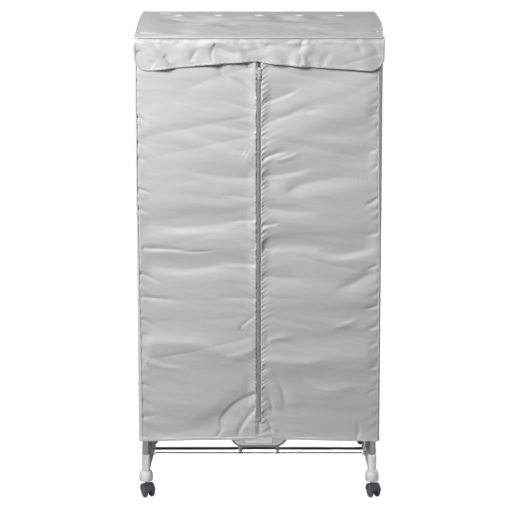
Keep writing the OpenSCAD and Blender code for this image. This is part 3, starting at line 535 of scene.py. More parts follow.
chrome = metal_material("Chrome", (0.82, 0.83, 0.85), 0.05, 0.05, 0.2, 0.2)
nickel = metal_material("Nickel", (0.90, 0.90, 0.89), 0.34, 0.08, 0.2, 1.0)
eyelet_metal = metal_material("Bright eyelet", (0.92, 0.92, 0.92), 0.42, 0.10, 0.1, 1.0)
motor_steel = metal_material("Zinc plated steel", (0.55, 0.56, 0.57), 0.34, 0.12, 0.3, 1.0)
fins = metal_material("Aluminium fins", (0.70, 0.70, 0.71), 0.38, 0.10, 0.2, 1.0)

# %% [markdown]
# Each rigid piece of the frame is given its finish by name. The first word that fits counts, so the
# list runs from the particular to the general.

# %% Finish the rigid pieces
FINISHES = [
    (caster_plastic, "caster_housing"), (wheel_plastic, "caster_wheels"),
    (nickel, "caster_stems zip_slider zip_pull"), (eyelet_metal, "roof_eyelets"),
    (tape_material, "zip_bottom"), (motor_steel, "fan_motor"), (fins, "heating_element"),
    (black_plastic, "fan_impeller timer cord_gland"), (dark_plastic, "heater_tub rod_clips"),
    (grey_plastic, "heater_lid control_panel base_arch corner_elbow upright_couplers rail_saddles"),
    (chrome, "base_rod upright rail"),
]
for name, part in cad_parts.items():
    fitting = [material for material, words in FINISHES if any(word in name for word in words.split())]
    finish = fitting[0] if fitting else cover_material
    part.data.materials.clear()
    part.data.materials.append(finish)
    if finish is not cover_material:
        part.data.polygons.foreach_set("use_smooth", [True]*len(part.data.polygons))
        part.data.set_sharp_from_angle(angle=math.radians(32))
print("finished", len(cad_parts), "rigid pieces")

# %% [markdown]
# The cover hangs from the roof's corded seam like a box, a touch wider at the hem. These are its
# planes. The corner seams of a sewn cover are never quite straight: here the left one wanders on to
# the front near the hem, and the right one near the top, so a strip of side cloth shows there.

# %% Sizes of the cover
roof_hw, hem_hw = 340.5*MM, 346.5*MM
roof_z, hem_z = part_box("cover_piping")[1].z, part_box("cover_piping")[0].z
cover_depth = 240*MM
cord_r = 2.5*MM
roof_seam_z = roof_z - cord_r
binding_h = 8*MM
sill_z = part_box("door_left")[0].z - 0.3*MM       # the zip ends at this height
zip_hw = 6.5*MM
cloth_t = 0.8*MM
roof_hx, roof_hy = 340*MM, 240*MM


def half_width(z):
    return roof_hw + (hem_hw - roof_hw)*(roof_z - z)/(roof_z - hem_z)


def wander(side, z):
    """How far the corner seam has moved on to the front."""
    if side < 0:
        return 8*MM*rise((1.0 - z)/0.8)
    return 7*MM*rise((z - 0.70)/0.45) + 2*MM + 1.5*MM*rise((0.5 - z)/0.3)


def seam_x(side, z):
    return half_width(z) - cord_r - wander(side, z)


def roof_bow(side, y):
    """How far the roof's side edge bows outwards at y."""
    share = np.clip((y + roof_hy)/(2*roof_hy), 0, 1)
    return np.where(side < 0, 3.5*MM, 9*MM)*np.sin(math.pi*share**1.4)**1.2


def hem_line(x):
    """The hem hangs lowest at the corners and is drawn up beside the end of the zip."""
    corner = rise((hem_hw - abs(x))/(300*MM))
    lift = rise((x + 24*MM)/(46*MM))*rise((56*MM - x)/(26*MM))
    return hem_z - 3.5*MM + 4.5*MM*corner + 9*MM*lift + 0.8*MM*field(x/0.06, x*0, 5)


print("cover", round(2*hem_hw, 3), "m wide and", round(roof_z - hem_z, 3), "m high")


def cut_from(cloth, width, length, rests_on, held="hung", **more):
    """Prints the size of the flat sheet that a cloth is cut from. The pieces that it rests on are not used.
    """
    print(f"{cloth.name}: cut {1000*width:.0f} x {1000*length:.0f} mm")


# %% [markdown]
# The front's relief is one formula for the whole front, so that its pieces meet without a step: the
# main folds that the solids have too, then the creases drawn from the photograph one by one, long
# shallow ripples between the seams, and the puckers where the zip and the corner seams were sewn.

# %% Main folds of the front
# Height at the zip, rise towards the corner in degrees, height of the fold, half-width
FOLDS_LEFT = [(1175, 38, -3.5, 60), (1000, 20, 3, 60), (832, -2, -4, 60), (705, 0, -3.5, 55),
              (440, 4, 3.5, 60), (330, -40, -4, 60)]
FOLDS_RIGHT = [(1165, 22, -4, 60), (1050, 20, 3, 55), (960, 9, -3.5, 60), (750, 3, -4.5, 60),
               (610, 0, 3, 60), (410, 3, 3.5, 60)]


def ridge(t):
    return np.where(abs(t) < 1, (1 + np.cos(math.pi*np.clip(t, -1, 1)))/2, 0)


def folds(rows, x, z):
    total = np.zeros_like(x)
    for height, degrees, size, half in rows:
        lean = math.radians(degrees)
        total = total + size*MM*ridge((z - height*MM - x*math.tan(lean))*math.cos(lean)/(half*MM))
    return total


# %% Creases of the front
# Three points, each x and z in millimetres, then depth, left bank, right bank, and the share of the
# length that fades at the first and at the last point. Where a stroke runs from left to right, its
# left bank is above.
CREASES = [
    # left half, under the flap
    (-112, 1285, -100, 1246, -62, 1229, 3.5, 10, 22, 0, 0.3),
    (-80, 1238, -45, 1215, -8, 1180, 3.0, 12, 26, 0.3, 0),
    (-76, 1280, -55, 1252, -22, 1222, 2.0, 8, 14, 0, 0.4),
    (-40, 1282, -30, 1262, -22, 1250, 1.2, 6, 8, 0, 0.5),
    # left half, soft diagonals
    (-290, 1118, -164, 1070, -20, 1010, 2.2, 55, 26, 0.4, 0.1),
    (-220, 1130, -90, 1092, -10, 1082, 2.0, 36, 20, 0.5, 0),
    (-150, 1190, -70, 1160, -8, 1142, 1.4, 26, 14, 0.5, 0),
    (-240, 985, -130, 960, -12, 952, 1.6, 40, 18, 0.5, 0.1),
    (-120, 905, -60, 900, -12, 897, 1.5, 24, 14, 0.4, 0),
    # left half, the two broad shadows with their sharp lower edges
    (-326, 826, -180, 812, -40, 834, 5.0, 58, 22, 0.35, 0.35),
    (-90, 822, -50, 828, -12, 830, 2.5, 26, 10, 0.4, 0),
    (-332, 705, -186, 688, -70, 714, 5.0, 48, 20, 0.35, 0.35),
    (-120, 712, -60, 706, -14, 704, 2.6, 30, 12, 0.4, 0),
    (-334, 752, -270, 748, -190, 742, 2.6, 16, 8, 0.1, 0.3),
    (-230, 744, -175, 737, -118, 745, 1.6, 6, 6, 0.3, 0.3),
    # left half, lower
    (-150, 602, -80, 606, -14, 600, 1.6, 30, 16, 0.5, 0),
    (-333, 470, -200, 474, -98, 432, -2.6, 20, 44, 0.1, 0.2),
    (-110, 436, -60, 440, -12, 462, -2.0, 16, 30, 0.3, 0.1),
    (-334, 424, -270, 404, -190, 398, -2.0, 16, 30, 0.1, 0.4),
    (-56, 516, -34, 534, -8, 551, 1.2, 14, 7, 0.15, 0),
    (-56, 518, -42, 499, -20, 474, 1.2, 8, 14, 0.1, 0.5),
    (-108, 232, -80, 272, -8, 328, 3.2, 11, 26, 0.1, 0),
    (-108, 234, -104, 218, -90, 210, 2.6, 16, 8, 0.1, 0.5),
    (-56, 190, -44, 225, -5, 282, 3.0, 18, 10, 0, 0),
    (-118, 190, -108, 206, -98, 214, 1.8, 8, 8, 0, 0.5),
    # right half, diagonals that rise from the zip
    (8, 1161, 66, 1184, 124, 1212, 2.0, 22, 9, 0, 0.4),
    (8, 1100, 86, 1134, 200, 1188, 1.8, 30, 12, 0, 0.5),
    (60, 1120, 130, 1142, 205, 1150, 1.4, 20, 14, 0.5, 0.5),
    (12, 1003, 40, 1018, 88, 1034, 2.6, 18, 10, 0, 0.4),
    (36, 1000, 80, 1012, 130, 1034, -1.6, 8, 14, 0.4, 0.4),
    (10, 954, 86, 966, 144, 976, 3.0, 26, 14, 0, 0.4),
    (86, 898, 150, 938, 330, 950, 4.6, 36, 40, 0.2, 0.35),
    (12, 868, 110, 858, 200, 862, 2.4, 34, 18, 0, 0.5),
    (12, 816, 36, 820, 64, 832, 1.8, 12, 8, 0, 0.5),
    # right half, the broad dark band
    (14, 750, 120, 752, 214, 737, 6.0, 46, 20, 0, 0.35),
    (160, 738, 240, 734, 334, 756, 5.6, 44, 20, 0.25, 0.35),
    (12, 668, 87, 660, 150, 664, 2.2, 40, 24, 0, 0.5),
    (205, 622, 271, 648, 338, 684, 3.4, 28, 40, 0.4, 0.25),
    (14, 608, 80, 600, 150, 604, 1.4, 30, 24, 0, 0.5),
    # right half, lower
    (22, 482, 60, 490, 120, 496, -1.8, 20, 26, 0.1, 0.5),
    (16, 421, 125, 409, 210, 430, -3.2, 22, 40, 0, 0.4),
    (200, 515, 245, 530, 290, 552, -1.6, 14, 20, 0.4, 0.4),
    (150, 345, 220, 330, 300, 352, -1.6, 24, 40, 0.4, 0.4),
    (12, 398, 60, 345, 78, 262, 3.0, 34, 12, 0, 0.4),
    (8, 340, 34, 300, 40, 250, 2.0, 12, 10, 0, 0.4),
    (12, 262, 30, 232, 34, 205, 2.4, 12, 10, 0, 0.2),
    (56, 190, 50, 205, 34, 214, 1.8, 8, 8, 0, 0.5),
    (288, 190, 290, 212, 276, 236, 1.6, 12, 10, 0, 0.6),
    # fold lines from the packet
    (120, 1150, 126, 700, 131, 240, -0.35, 2.4, 2.4, 0.05, 0.1),
    (141, 1146, 134, 891, 133, 600, -0.30, 2.4, 2.4, 0.05, 0.1),
    (-196, 1160, -200, 700, -203, 240, -0.18, 2.4, 2.4, 0.1, 0.1),
]
# Short creases that start at a corner seam: side, height there, drop, length, depth
SEAM_CREASES = [
    (-1, 1128, -34, 50, 1.8), (-1, 1055, -30, 46, 2.0), (-1, 1010, -16, 26, 2.2), (-1, 925, -26, 60, 2.4),
    (-1, 868, -16, 34, 1.6), (-1, 676, -36, 74, 3.4), (-1, 606, -10, 120, 2.4), (-1, 545, -34, 60, 2.4),
    (-1, 500, -8, 44, 1.4), (-1, 352, -14, 40, 1.4), (-1, 300, -34, 46, 2.0), (-1, 252, 6, 50, 1.6),
    (1, 1140, -16, 40, 1.8), (1, 1030, -12, 36, 1.6), (1, 985, -14, 30, 1.6), (1, 900, -30, 44, 2.0),
    (1, 800, -14, 50, 1.6), (1, 700, -22, 44, 2.2), (1, 585, -16, 50, 2.2), (1, 520, -14, 40, 1.8),
    (1, 470, -18, 40, 1.6), (1, 400, -12, 36, 1.4), (1, 330, -18, 40, 1.4),
]

# %% [markdown]
# Puckers beside a zip are rows of tiny slanting folds: the tape doesn't stretch and the cloth does,
# so it gathers at the stitches. A wave along the seam whose spacing wanders gives them, dying away
# a couple of centimetres from the zip.

# %% Relief of the front
curve_power = {-1: 1.3, 1: 0.65}
flap_hw, flap_drop, flap_ends, flap_corner = 344*MM, 65*MM, 26*MM, 38*MM


def flap_fall(x):
    """How far the flap's edge hangs below the roof seam."""
    share = np.minimum(1, abs(x)/(flap_hw - flap_corner))
    return flap_drop + flap_ends*share**np.where(x < 0, curve_power[-1], curve_power[1])


def puckers(x, z, distance, reach, pitch, slant, seed):
    """Small folds square to a seam, slanting away from it."""
    along = z + slant*distance
    phase = along/pitch + 0.9*field(along/(4*pitch), x*0, seed)
    size = 0.45 + 0.55*abs(field(along/(2.3*pitch), x*0 + 7, seed + 3))
    return np.sin(2*math.pi*phase)*size*np.exp(-distance/reach)


def front_relief(x, z):
    """How far the front stands out from its plane, in metres."""
    edge = np.where(x < 0, seam_x(-1, z), seam_x(1, z))
    from_zip, from_seam = abs(x) - zip_hw, np.maximum(edge - abs(x), 0)
    wx = x + 5*MM*field(x/0.09, z/0.07, 31)
    wz = z + 5*MM*field(x/0.08, z/0.06, 32)
    flat = rise(from_seam/0.04)*rise((z - hem_z - binding_h)/0.045)
    out = np.where(x < 0, folds(FOLDS_LEFT, abs(x), z), folds(FOLDS_RIGHT, abs(x), z))
    out = 1.1*out*flat*rise(from_zip/0.03)
    strokes = sum(crease(wx, wz, *row) for row in CREASES)
    out = out + 1.5*strokes*rise(from_seam/0.016)*rise(from_zip/0.006)
    for sign, height, drop, length, depth in SEAM_CREASES:
        start = sign*float(seam_x(sign, height*MM))/MM
        x_points = (start, start - sign*length/2, start - sign*length)[::-sign]
        z_points = (height, height + drop/2, height + drop)[::-sign]
        row = [value for point in zip(x_points, z_points) for value in point]
        fades = (0.05, 0.7)[::-sign]
        out = out + 1.3*crease(wx, wz, *row, depth, 12, 9, *fades)*rise(from_seam/0.004)
    slope = z + 0.10*x
    middle = rise(from_zip/0.022)*rise(from_seam/0.035)
    out = out + middle*(1.6*MM*ripples(x, slope, 0.20, 0.055, 41) + 0.6*MM*ripples(x, slope, 0.09, 0.022, 51))
    out = out - middle*1.4*MM*sharp(x, z + 0.2*abs(x), 0.24, 0.065, 61)
    zip_wave = puckers(x, z, from_zip, 9*MM, 14*MM, -0.7, 71)
    zip_wave = zip_wave + 0.5*puckers(x, z, from_zip, 24*MM, 31*MM, -0.4, 75)
    lip = 1.6*MM*np.exp(-(from_zip/(16*MM))**2)              # the sewn edge stands up
    out = out + (2.0*MM*zip_wave + lip)*rise(from_zip/0.003)
    seam_wave = puckers(x, z, from_seam, 15*MM, 34*MM, 0.5, 81)
    out = out + 1.4*MM*seam_wave*rise(from_seam/0.004)
    out = out - 1.0*MM*(1 - rise(from_seam/0.007))
    out = 9*MM*np.tanh(out/(9*MM))
    furrow = 3.2*MM*np.exp(-((x - 1*MM)/(3.4*MM))**2)*rise((sill_z - z)/(12*MM))   # the seam below the zip
    return np.maximum(out, -0.2*MM - 10*MM*rise(from_zip/(14*MM))) - furrow


# %% [markdown]
# The two halves of the front are the cloth on each side of the zip; on the real cover they swing open on the
# corner seams.

# %% Front cloths
FRONT_ROWS, FRONT_COLUMNS = 400, 118


def front_half(side, name, solid):
    u = np.linspace(0, 1, FRONT_COLUMNS)[None, :]
    u = u - 0.6*np.sin(2*math.pi*u)/(2*math.pi)                 # finer beside the zip and the seam
    v = np.linspace(0, 1, FRONT_ROWS)[:, None]
    guess = zip_hw + (roof_hw - zip_hw)*u
    top = roof_seam_z - flap_fall(side*guess) - 2.4*MM
    z = sill_z + 0.1*MM + (top - sill_z)*v
    x = side*(zip_hw + (seam_x(side, z) + 1.2*MM - zip_hw)*u)
    y = cover_front - front_relief(x, z)
    points = np.stack([x, y, z], -1)
    if side < 0:
        points = points[:, ::-1]
    cloth = piece(name, points.transpose(1, 0, 2), grid_faces(FRONT_COLUMNS, FRONT_ROWS),
                  cover_material, None, "coated_cloth")
    edge = float(seam_x(side, sill_z))
    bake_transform(cloth)
    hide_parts(solid)
    thicken(cloth, cloth_t)
    cut_from(cloth, edge - zip_hw + 6*MM, float(top.max()) - sill_z,
             ["cover_piping", solid.replace("door", "zip_tape")])


front_half(-1, "front_cloth_left", "door_left")
front_half(1, "front_cloth_right", "door_right")


def front_strip(name, solid, low, high, rows, columns=230):
    """A fixed piece of the front between two lines, low(x) and high(x)."""
    s = np.linspace(-1, 1, columns)[:, None]
    v = np.linspace(0, 1, rows)[None, :]
    guess = s*roof_hw
    z = low(guess) + (high(guess) - low(guess))*v
    x = np.where(s < 0, s*(seam_x(-1, z) + 1.2*MM), s*(seam_x(1, z) + 1.2*MM))
    points = np.stack([x, cover_front - front_relief(x, z), z], -1)
    cloth = piece(name, points, grid_faces(columns, rows), cover_material, "root", "coated_cloth")
    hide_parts(solid)
    thicken(cloth, cloth_t)
    cut_from(cloth, 2*roof_hw, float(np.ptp(z)), ["cover_piping"],
             area=float(2*roof_hw*(z[:, -1] - z[:, 0]).mean()))


front_strip("header_cloth", "cover_header", lambda x: roof_seam_z - flap_fall(x) - 2.2*MM,
            lambda x: roof_seam_z - 1*MM + x*0, rows=30)
front_strip("sill_cloth", "cover_sill", lambda x: hem_line(x) + 5*MM,
            lambda x: sill_z + 0.1*MM + x*0, rows=24)
print("front halves", FRONT_ROWS*FRONT_COLUMNS, "points each")

# %% [markdown]
# The flap over the top of the zip is sewn into the roof's corded seam. Its edge hangs in a shallow
# curve with rounded lower corners, so its grid has narrow columns there, one for every few degrees of
# the corner. Its stiff bound edge makes it stand off in flutes and in a few sharp folds.

# %% Relief of the flap
# Place at the seam, place at the edge, height, half-width
FOLDS_FLAP = [(-338, -285, 5, 42), (-180, -128, 4, 40), (-128, -52, 3.5, 42), (18, 46, 4, 40),
              (122, 112, 6, 38), (250, 285, 3, 45)]
FLAP_CREASES = [
    (-338, 1342, -292, 1315, -246, 1278, -5.5, 26, 40, 0.02, 0),
    (-336, 1312, -316, 1292, -284, 1272, 3.0, 22, 20, 0.1, 0.1),
    (-262, 1300, -250, 1290, -244, 1276, 2.4, 20, 16, 0.3, 0),
    (-306, 1343, -288, 1334, -272, 1318, 2.4, 12, 14, 0, 0.5),
    (-262, 1343, -225, 1334, -190, 1330, 2.4, 16, 14, 0, 0.5),
    (-190, 1343, -172, 1332, -146, 1335, 2.6, 14, 10, 0, 0.4),
    (-186, 1282, -178, 1302, -160, 1322, 2.2, 16, 14, 0.1, 0.5),
    (-134, 1343, -85, 1330, -30, 1304, -4.0, 14, 28, 0, 0.2),
    (-128, 1330, -96, 1314, -44, 1296, 3.4, 18, 20, 0.1, 0.2),
    (-128, 1288, -130, 1306, -121, 1324, 1.7, 12, 8, 0, 0.4),
    (-60, 1343, -46, 1330, -22, 1318, 3.0, 12, 18, 0, 0.4),
    (-22, 1343, -10, 1331, 10, 1328, 2.2, 12, 12, 0, 0.4),
    (8, 1322, 58, 1326, 102, 1317, 3.2, 24, 16, 0.2, 0),
    (100, 1319, 112, 1300, 112, 1270, 3.6, 14, 26, 0, 0.1),
    (121, 1342, 117, 1312, 146, 1282, 3.4, 20, 16, 0, 0.2),
    (44, 1343, 66, 1335, 98, 1338, 2.4, 12, 12, 0, 0.4),
    (134, 1343, 180, 1330, 236, 1334, 2.4, 14, 20, 0.1, 0.5),
    (178, 1274, 186, 1290, 210, 1306, 2.2, 20, 14, 0, 0.5),
    (250, 1343, 276, 1322, 284, 1286, 3.0, 16, 30, 0, 0.5),
    (300, 1343, 322, 1320, 330, 1290, 3.0, 12, 22, 0, 0.4),
]
flap_top = roof_seam_z - 2.9*MM
flap_plane = -242.2*MM


def flap_edge_z(x):
    over = np.clip((abs(x) - (flap_hw - flap_corner))/flap_corner, 0, 1)
    return roof_seam_z - flap_fall(x) + flap_corner*(1 - np.sqrt(1 - over*over))


def flap_relief(x, z):
    t = (roof_seam_z - z)/flap_drop
    out = np.zeros_like(x)
    for at_seam, at_edge, height, half in FOLDS_FLAP:
        middle = at_seam + (at_edge - at_seam)*t
        out = out + 1.4*height*MM*ridge((x/MM - middle)/half)
    out = out*rise(t*0.9)
    wx, wz = x + 3*MM*field(x/0.05, z/0.05, 131), z + 3*MM*field(x/0.06, z/0.05, 132)
    from_top, from_edge = np.maximum(flap_top - z, 0), np.maximum(z - flap_edge_z(x), 0)
    out = out + 1.1*sum(crease(wx, wz, *row) for row in FLAP_CREASES)*rise(from_top/0.006)
    out = out + 1.2*MM*ripples(x, z, 0.05, 0.035, 141)*rise(from_top/0.02)
    out = out - 1.5*MM*sharp(x + 0.7*z, z - 0.4*x, 0.07, 0.05, 143)*rise(from_top/0.012)
    out = out + 0.6*MM*puckers(z, x, from_top, 9*MM, 21*MM, 0.6, 151)*rise(from_top/0.002)
    out = out + 0.5*MM*puckers(z, x, from_edge, 9*MM, 13*MM, 0.5, 161)
    out = out + 4.4*MM*rise(from_top/0.012)*(1 - 0.7*np.minimum(t, 1))    # stands off at the seam
    return np.maximum(out, -0.6*MM)


# %% Flap and its binding
FLAP_ROWS, FLAP_COLUMNS = 34, 230
flap_straight = flap_hw - flap_corner            # half of the edge between the rounded corners
corner_turn = np.linspace(0, math.pi/2, 15)[1:]


def on_flap(x, z, lift=0):
    """Points on the flap, moved out from it by lift."""
    return np.stack([x, flap_plane - lift - flap_relief(x, z), z], -1)


flap_x = np.concatenate([np.linspace(-1, 1, FLAP_COLUMNS)*flap_straight,
                         flap_straight + flap_corner*np.sin(corner_turn)])
flap_x = np.unique(np.round(np.concatenate([flap_x, -flap_x]), 6))
x = np.repeat(flap_x[:, None], FLAP_ROWS, 1)
low = flap_edge_z(x) + 1*MM
z = low + (flap_top - low)*np.linspace(0, 1, FLAP_ROWS)
flap = piece("flap_cloth", on_flap(x, z, 0.4*MM), grid_faces(len(flap_x), FLAP_ROWS), cover_material, None,
             "coated_cloth")
flap_bend = {"start": (0, -0.24, 1.3465), "end": (0, -0.2425, 1.335)}
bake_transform(flap)
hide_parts("front_flap")
thicken(flap, cloth_t)

edge = 2.6*MM                                    # from the outline to the middle of the binding
lower = [(a, flap_edge_z(np.array(a)) + edge) for a in np.linspace(-1, 1, 300)*flap_straight]
corner_z = roof_seam_z - flap_drop - flap_ends + flap_corner
right = [(flap_straight + (flap_corner - edge)*math.sin(t), corner_z - (flap_corner - edge)*math.cos(t))
         for t in corner_turn]
right += [(flap_hw - edge, b) for b in np.linspace(right[-1][1], flap_top - 1*MM, 10)[1:]]
flap_line = np.array([(-a, b) for a, b in right[::-1]] + lower + right)
path = on_flap(*flap_line.T)
flap_binding = piece("flap_edge_binding", *sweep(path, oval(3.0*MM, 1.15*MM, 10, 0.7), (0, -1, 0)),
                     binding_material, None, "seam_binding")
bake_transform(flap_binding)
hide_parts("flap_binding")
cut_from(flap, 2*flap_hw, flap_drop + flap_ends, ["cover_piping", "flap_edge_binding"])
print("the flap hangs", round(1000*(flap_top - float(flap_line[:, 1].min()))), "mm")

# %% [markdown]
# The back bellies outwards and each side falls in soft folds. A side's cloth comes a little way round
# the front corner, as far as the wandering seam, so its grid runs round a small arc there.

# %% Back and sides
FOLDS_BACK = [(1130, 16, 2.5, 80), (930, -9, -3, 80), (730, 7, 2.5, 80), (520, -12, -3, 80),
              (340, 8, 2.5, 70)]
FOLDS_SIDE = [(1180, 24, -4, 80), (960, -14, -4, 90), (720, 12, -5, 90), (470, -10, -4, 90),
              (300, 16, -3, 70)]
BACK_CREASES = [
    (-338, 1300, -200, 1215, -20, 1190, 3.0, 26, 16, 0.05, 0.5),
    (-338, 1010, -190, 985, 10, 1005, 2.8, 24, 14, 0.05, 0.5),
    (-336, 690, -180, 700, 60, 672, 3.0, 18, 28, 0.05, 0.4),
    (-334, 392, -210, 400, -60, 372, 2.4, 16, 22, 0.05, 0.5),
    (40, 1150, 180, 1210, 338, 1262, 3.0, 16, 26, 0.5, 0.05),
    (-30, 856, 150, 868, 338, 842, 3.2, 26, 16, 0.5, 0.05),
    (90, 560, 210, 572, 336, 540, 2.6, 20, 14, 0.5, 0.05),
    (120, 300, 220, 322, 334, 350, 2.2, 16, 16, 0.5, 0.05),
]
SIDE_CREASES = [
    (-226, 1296, -120, 1216, 30, 1180, 3.0, 22, 14, 0.05, 0.5),
    (-228, 1040, -110, 1010, 50, 1024, 2.8, 20, 14, 0.05, 0.5),
    (-228, 742, -90, 716, 90, 734, 3.2, 24, 14, 0.05, 0.4),
    (-228, 446, -130, 420, 10, 404, 2.4, 14, 18, 0.05, 0.5),
    (0, 1096, 120, 1150, 226, 1206, 2.8, 14, 22, 0.5, 0.05),
    (-20, 884, 110, 902, 228, 880, 2.8, 20, 14, 0.5, 0.05),
    (40, 588, 140, 606, 228, 584, 2.6, 18, 14, 0.5, 0.05),
    (60, 306, 150, 322, 228, 346, 2.2, 14, 14, 0.5, 0.05),
]
cloth_low, cloth_high = hem_z + binding_h, roof_z - 5.5*MM
WALL_ROWS, BACK_COLUMNS, SIDE_COLUMNS = 220, 130, 96


def back_relief(x, z):
    """x runs from -1 to 1 over the width here, as across runs in metres."""
    across = x*half_width(z)
    edge = rise((1 - abs(x))*4)
    v = (z - cloth_low)/(cloth_high - cloth_low)
    ends = rise(v*8)*rise((1 - v)*8)
    out = 9.4*MM*rise((1 - abs(x))*1.2)*rise(v*3)*rise((1 - v)*2.5) + edge*ends*folds(FOLDS_BACK, across, z)
    out = out + edge*(1.3*MM*ripples(across, z + 0.08*across, 0.18, 0.05, 211)
                      + 0.5*MM*ripples(across, z, 0.07, 0.02, 221))
    out = out - edge*1.6*MM*sharp(across + 0.3*z, z - 0.12*across, 0.26, 0.07, 231)
    seam = (1 - abs(x))*half_width(z)
    wx, wz = across + 6*MM*field(across/0.08, z/0.07, 251), z + 6*MM*field(across/0.08, z/0.06, 252)
    out = out + 1.5*ends*sum(crease(wx, wz, *row) for row in BACK_CREASES)*rise(seam/0.012)
    return out + 0.9*MM*puckers(across, z, seam, 14*MM, 36*MM, 0.5, 241)*rise(seam/0.004)


s, v = np.linspace(-1, 1, BACK_COLUMNS)[:, None], np.linspace(0, 1, WALL_ROWS)[None, :]
z = cloth_low - 4*MM + (cloth_high + 3*MM - cloth_low)*v + 0*s
x = s*(half_width(z) - 1.3*MM)
back_points = np.stack([-x, cover_depth - 0.4*MM + back_relief(s + 0*v, z), z], -1)
back = piece("back_cloth", back_points, grid_faces(BACK_COLUMNS, WALL_ROWS), cover_material, "root",
             "coated_cloth")
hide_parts("cover_back")
thicken(back, cloth_t)
cut_from(back, 2*roof_hw, roof_z - hem_z, ["cover_piping"])


def side_relief(y, z, seed):
    edge = rise((cover_depth - 22*MM + 14*MM*field(z/0.09, y*0, seed + 5) - abs(y))/0.12)
    v = (z - cloth_low)/(cloth_high - cloth_low)
    ends = rise(v*8)*rise((1 - v)*8)
    out = edge*ends*folds(FOLDS_SIDE, y, z)
    out = out + edge*ends*(1.2*MM*ripples(y, z + 0.1*y, 0.15, 0.05, seed)
                           + 0.5*MM*ripples(y, z, 0.06, 0.02, seed + 10))
    out = out - edge*ends*1.6*MM*sharp(y + 0.2*z, z + 0.15*y, 0.22, 0.07, seed + 20)
    seam = cover_depth - abs(y)
    wy, wz = y + 9*MM*field(y/0.08, z/0.07, seed + 2), z + 16*MM*field(y/0.3, z/0.09, seed + 3)
    out = out + 1.5*ends*sum(crease(wy, wz, *row) for row in SIDE_CREASES)*rise(seam/0.012)
    return out + 0.9*MM*puckers(y, z, seam, 12*MM, 38*MM, 0.5, seed + 30)*rise(seam/0.004)*rise(v*20)


def side_cloth(side, name, solid, seed):
    z = (cloth_low - 4*MM + (cloth_high + 3*MM - cloth_low)*np.linspace(0, 1, WALL_ROWS))[None, :]
    radius = wander(side, z) + cord_r                      # of the rounded front corner
    turn = np.linspace(0, math.pi/2, 9)[:-1, None]
    y_arc = -cover_depth + radius - radius*np.cos(turn)
    x_arc = half_width(z) - radius + radius*np.sin(turn)
    share = np.linspace(0, 1, SIDE_COLUMNS)[:, None]
    y_flat = -cover_depth + radius + (2*cover_depth - 1.3*MM - radius)*share
    x_flat = half_width(z) + side_relief(y_flat, z, seed) + roof_bow(side, y_flat)*rise((z - 1.22)/0.12)
    x, y = np.concatenate([x_arc + 0*z, x_flat]), np.concatenate([y_arc + 0*z, y_flat])
    points = np.stack([side*x, y, z + 0*x], -1)[::side]
    cloth = piece(name, points, grid_faces(len(x), WALL_ROWS), cover_material, "root", "coated_cloth")
    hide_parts(solid)
    thicken(cloth, cloth_t)
    cut_from(cloth, 2*cover_depth + 12*MM, roof_z - hem_z, ["cover_piping"])


side_cloth(-1, "side_cloth_left", "cover_side_left", 311)
side_cloth(1, "side_cloth_right", "cover_side_right", 361)
print("sides and back done")

# %% [markdown]
# The roof lies on the top rails and sags a little between them. It stays flat round each eyelet,
# where the cloth is clamped between two rings, and the faces under each eyelet are left out to make
# its hole.

# %% Roof
eyelet_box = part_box("roof_eyelets")
eyelet_pitch = 117.5*MM
eyelet_y = (eyelet_box[0].y + eyelet_box[1].y)/2
eyelet_x = [(k - 2)*eyelet_pitch for k in range(5)]
ROOF_CREASES = [
    (-330, -236, -250, -214, -150, -196, 1.6, 20, 14, 0.1, 0.5),
    (-262, -236, -230, -222, -180, -216, 1.2, 10, 10, 0.1, 0.5),
    (-336, -150, -300, -165, -240, -160, 1.2, 14, 14, 0.1, 0.5),
    (-240, 60, -180, 30, -90, 40, -1.2, 24, 24, 0.4, 0.4),
    (-60, -236, -20, -200, 60, -190, 1.2, 16, 12, 0.1, 0.5),
    (120, -236, 160, -205, 250, -190, 1.6, 18, 14, 0.1, 0.5),
    (334, -120, 290, -150, 210, -150, 1.4, 18, 14, 0.1, 0.5),
    (-300, 232, -240, 190, -150, 180, 1.2, 16, 14, 0.1, 0.5),
    (300, 232, 230, 200, 140, 196, 1.2, 16, 14, 0.1, 0.5),
    (0, -230, 2, 0, -2, 230, -0.5, 3, 3, 0.05, 0.05),
]


def roof_height(x, y):
    edge = rise((roof_hx - 22*MM - abs(x))/0.12)*rise((roof_hy - 36*MM - abs(y))/0.10)
    lift = edge*MM*(-7.0 + 5.0*ripples(x + 0.5*y, y, 0.15, 0.10, 411)
                    - 3.0*sharp(x - 0.6*y, y, 0.13, 0.11, 415))
    lift = lift + edge*1.8*MM*ripples(x + 0.6*y, y - 0.3*x, 0.06, 0.035, 421)
    rim = np.minimum(roof_hx - abs(x), roof_hy - abs(y))
    lift = lift + 3.2*sum(crease(x, y, *row) for row in ROOF_CREASES)*rise(rim/0.006)
    lift = lift + 0.9*MM*puckers(y, x, roof_hy - abs(y), 16*MM, 30*MM, 0.6, 431)
    away = np.min([np.hypot(x - a, y - eyelet_y) for a in eyelet_x], 0)
    calm = rise((away - 14*MM)/0.045)*rise(rim/0.006)
    return calm*np.minimum(lift, 1.2*MM)


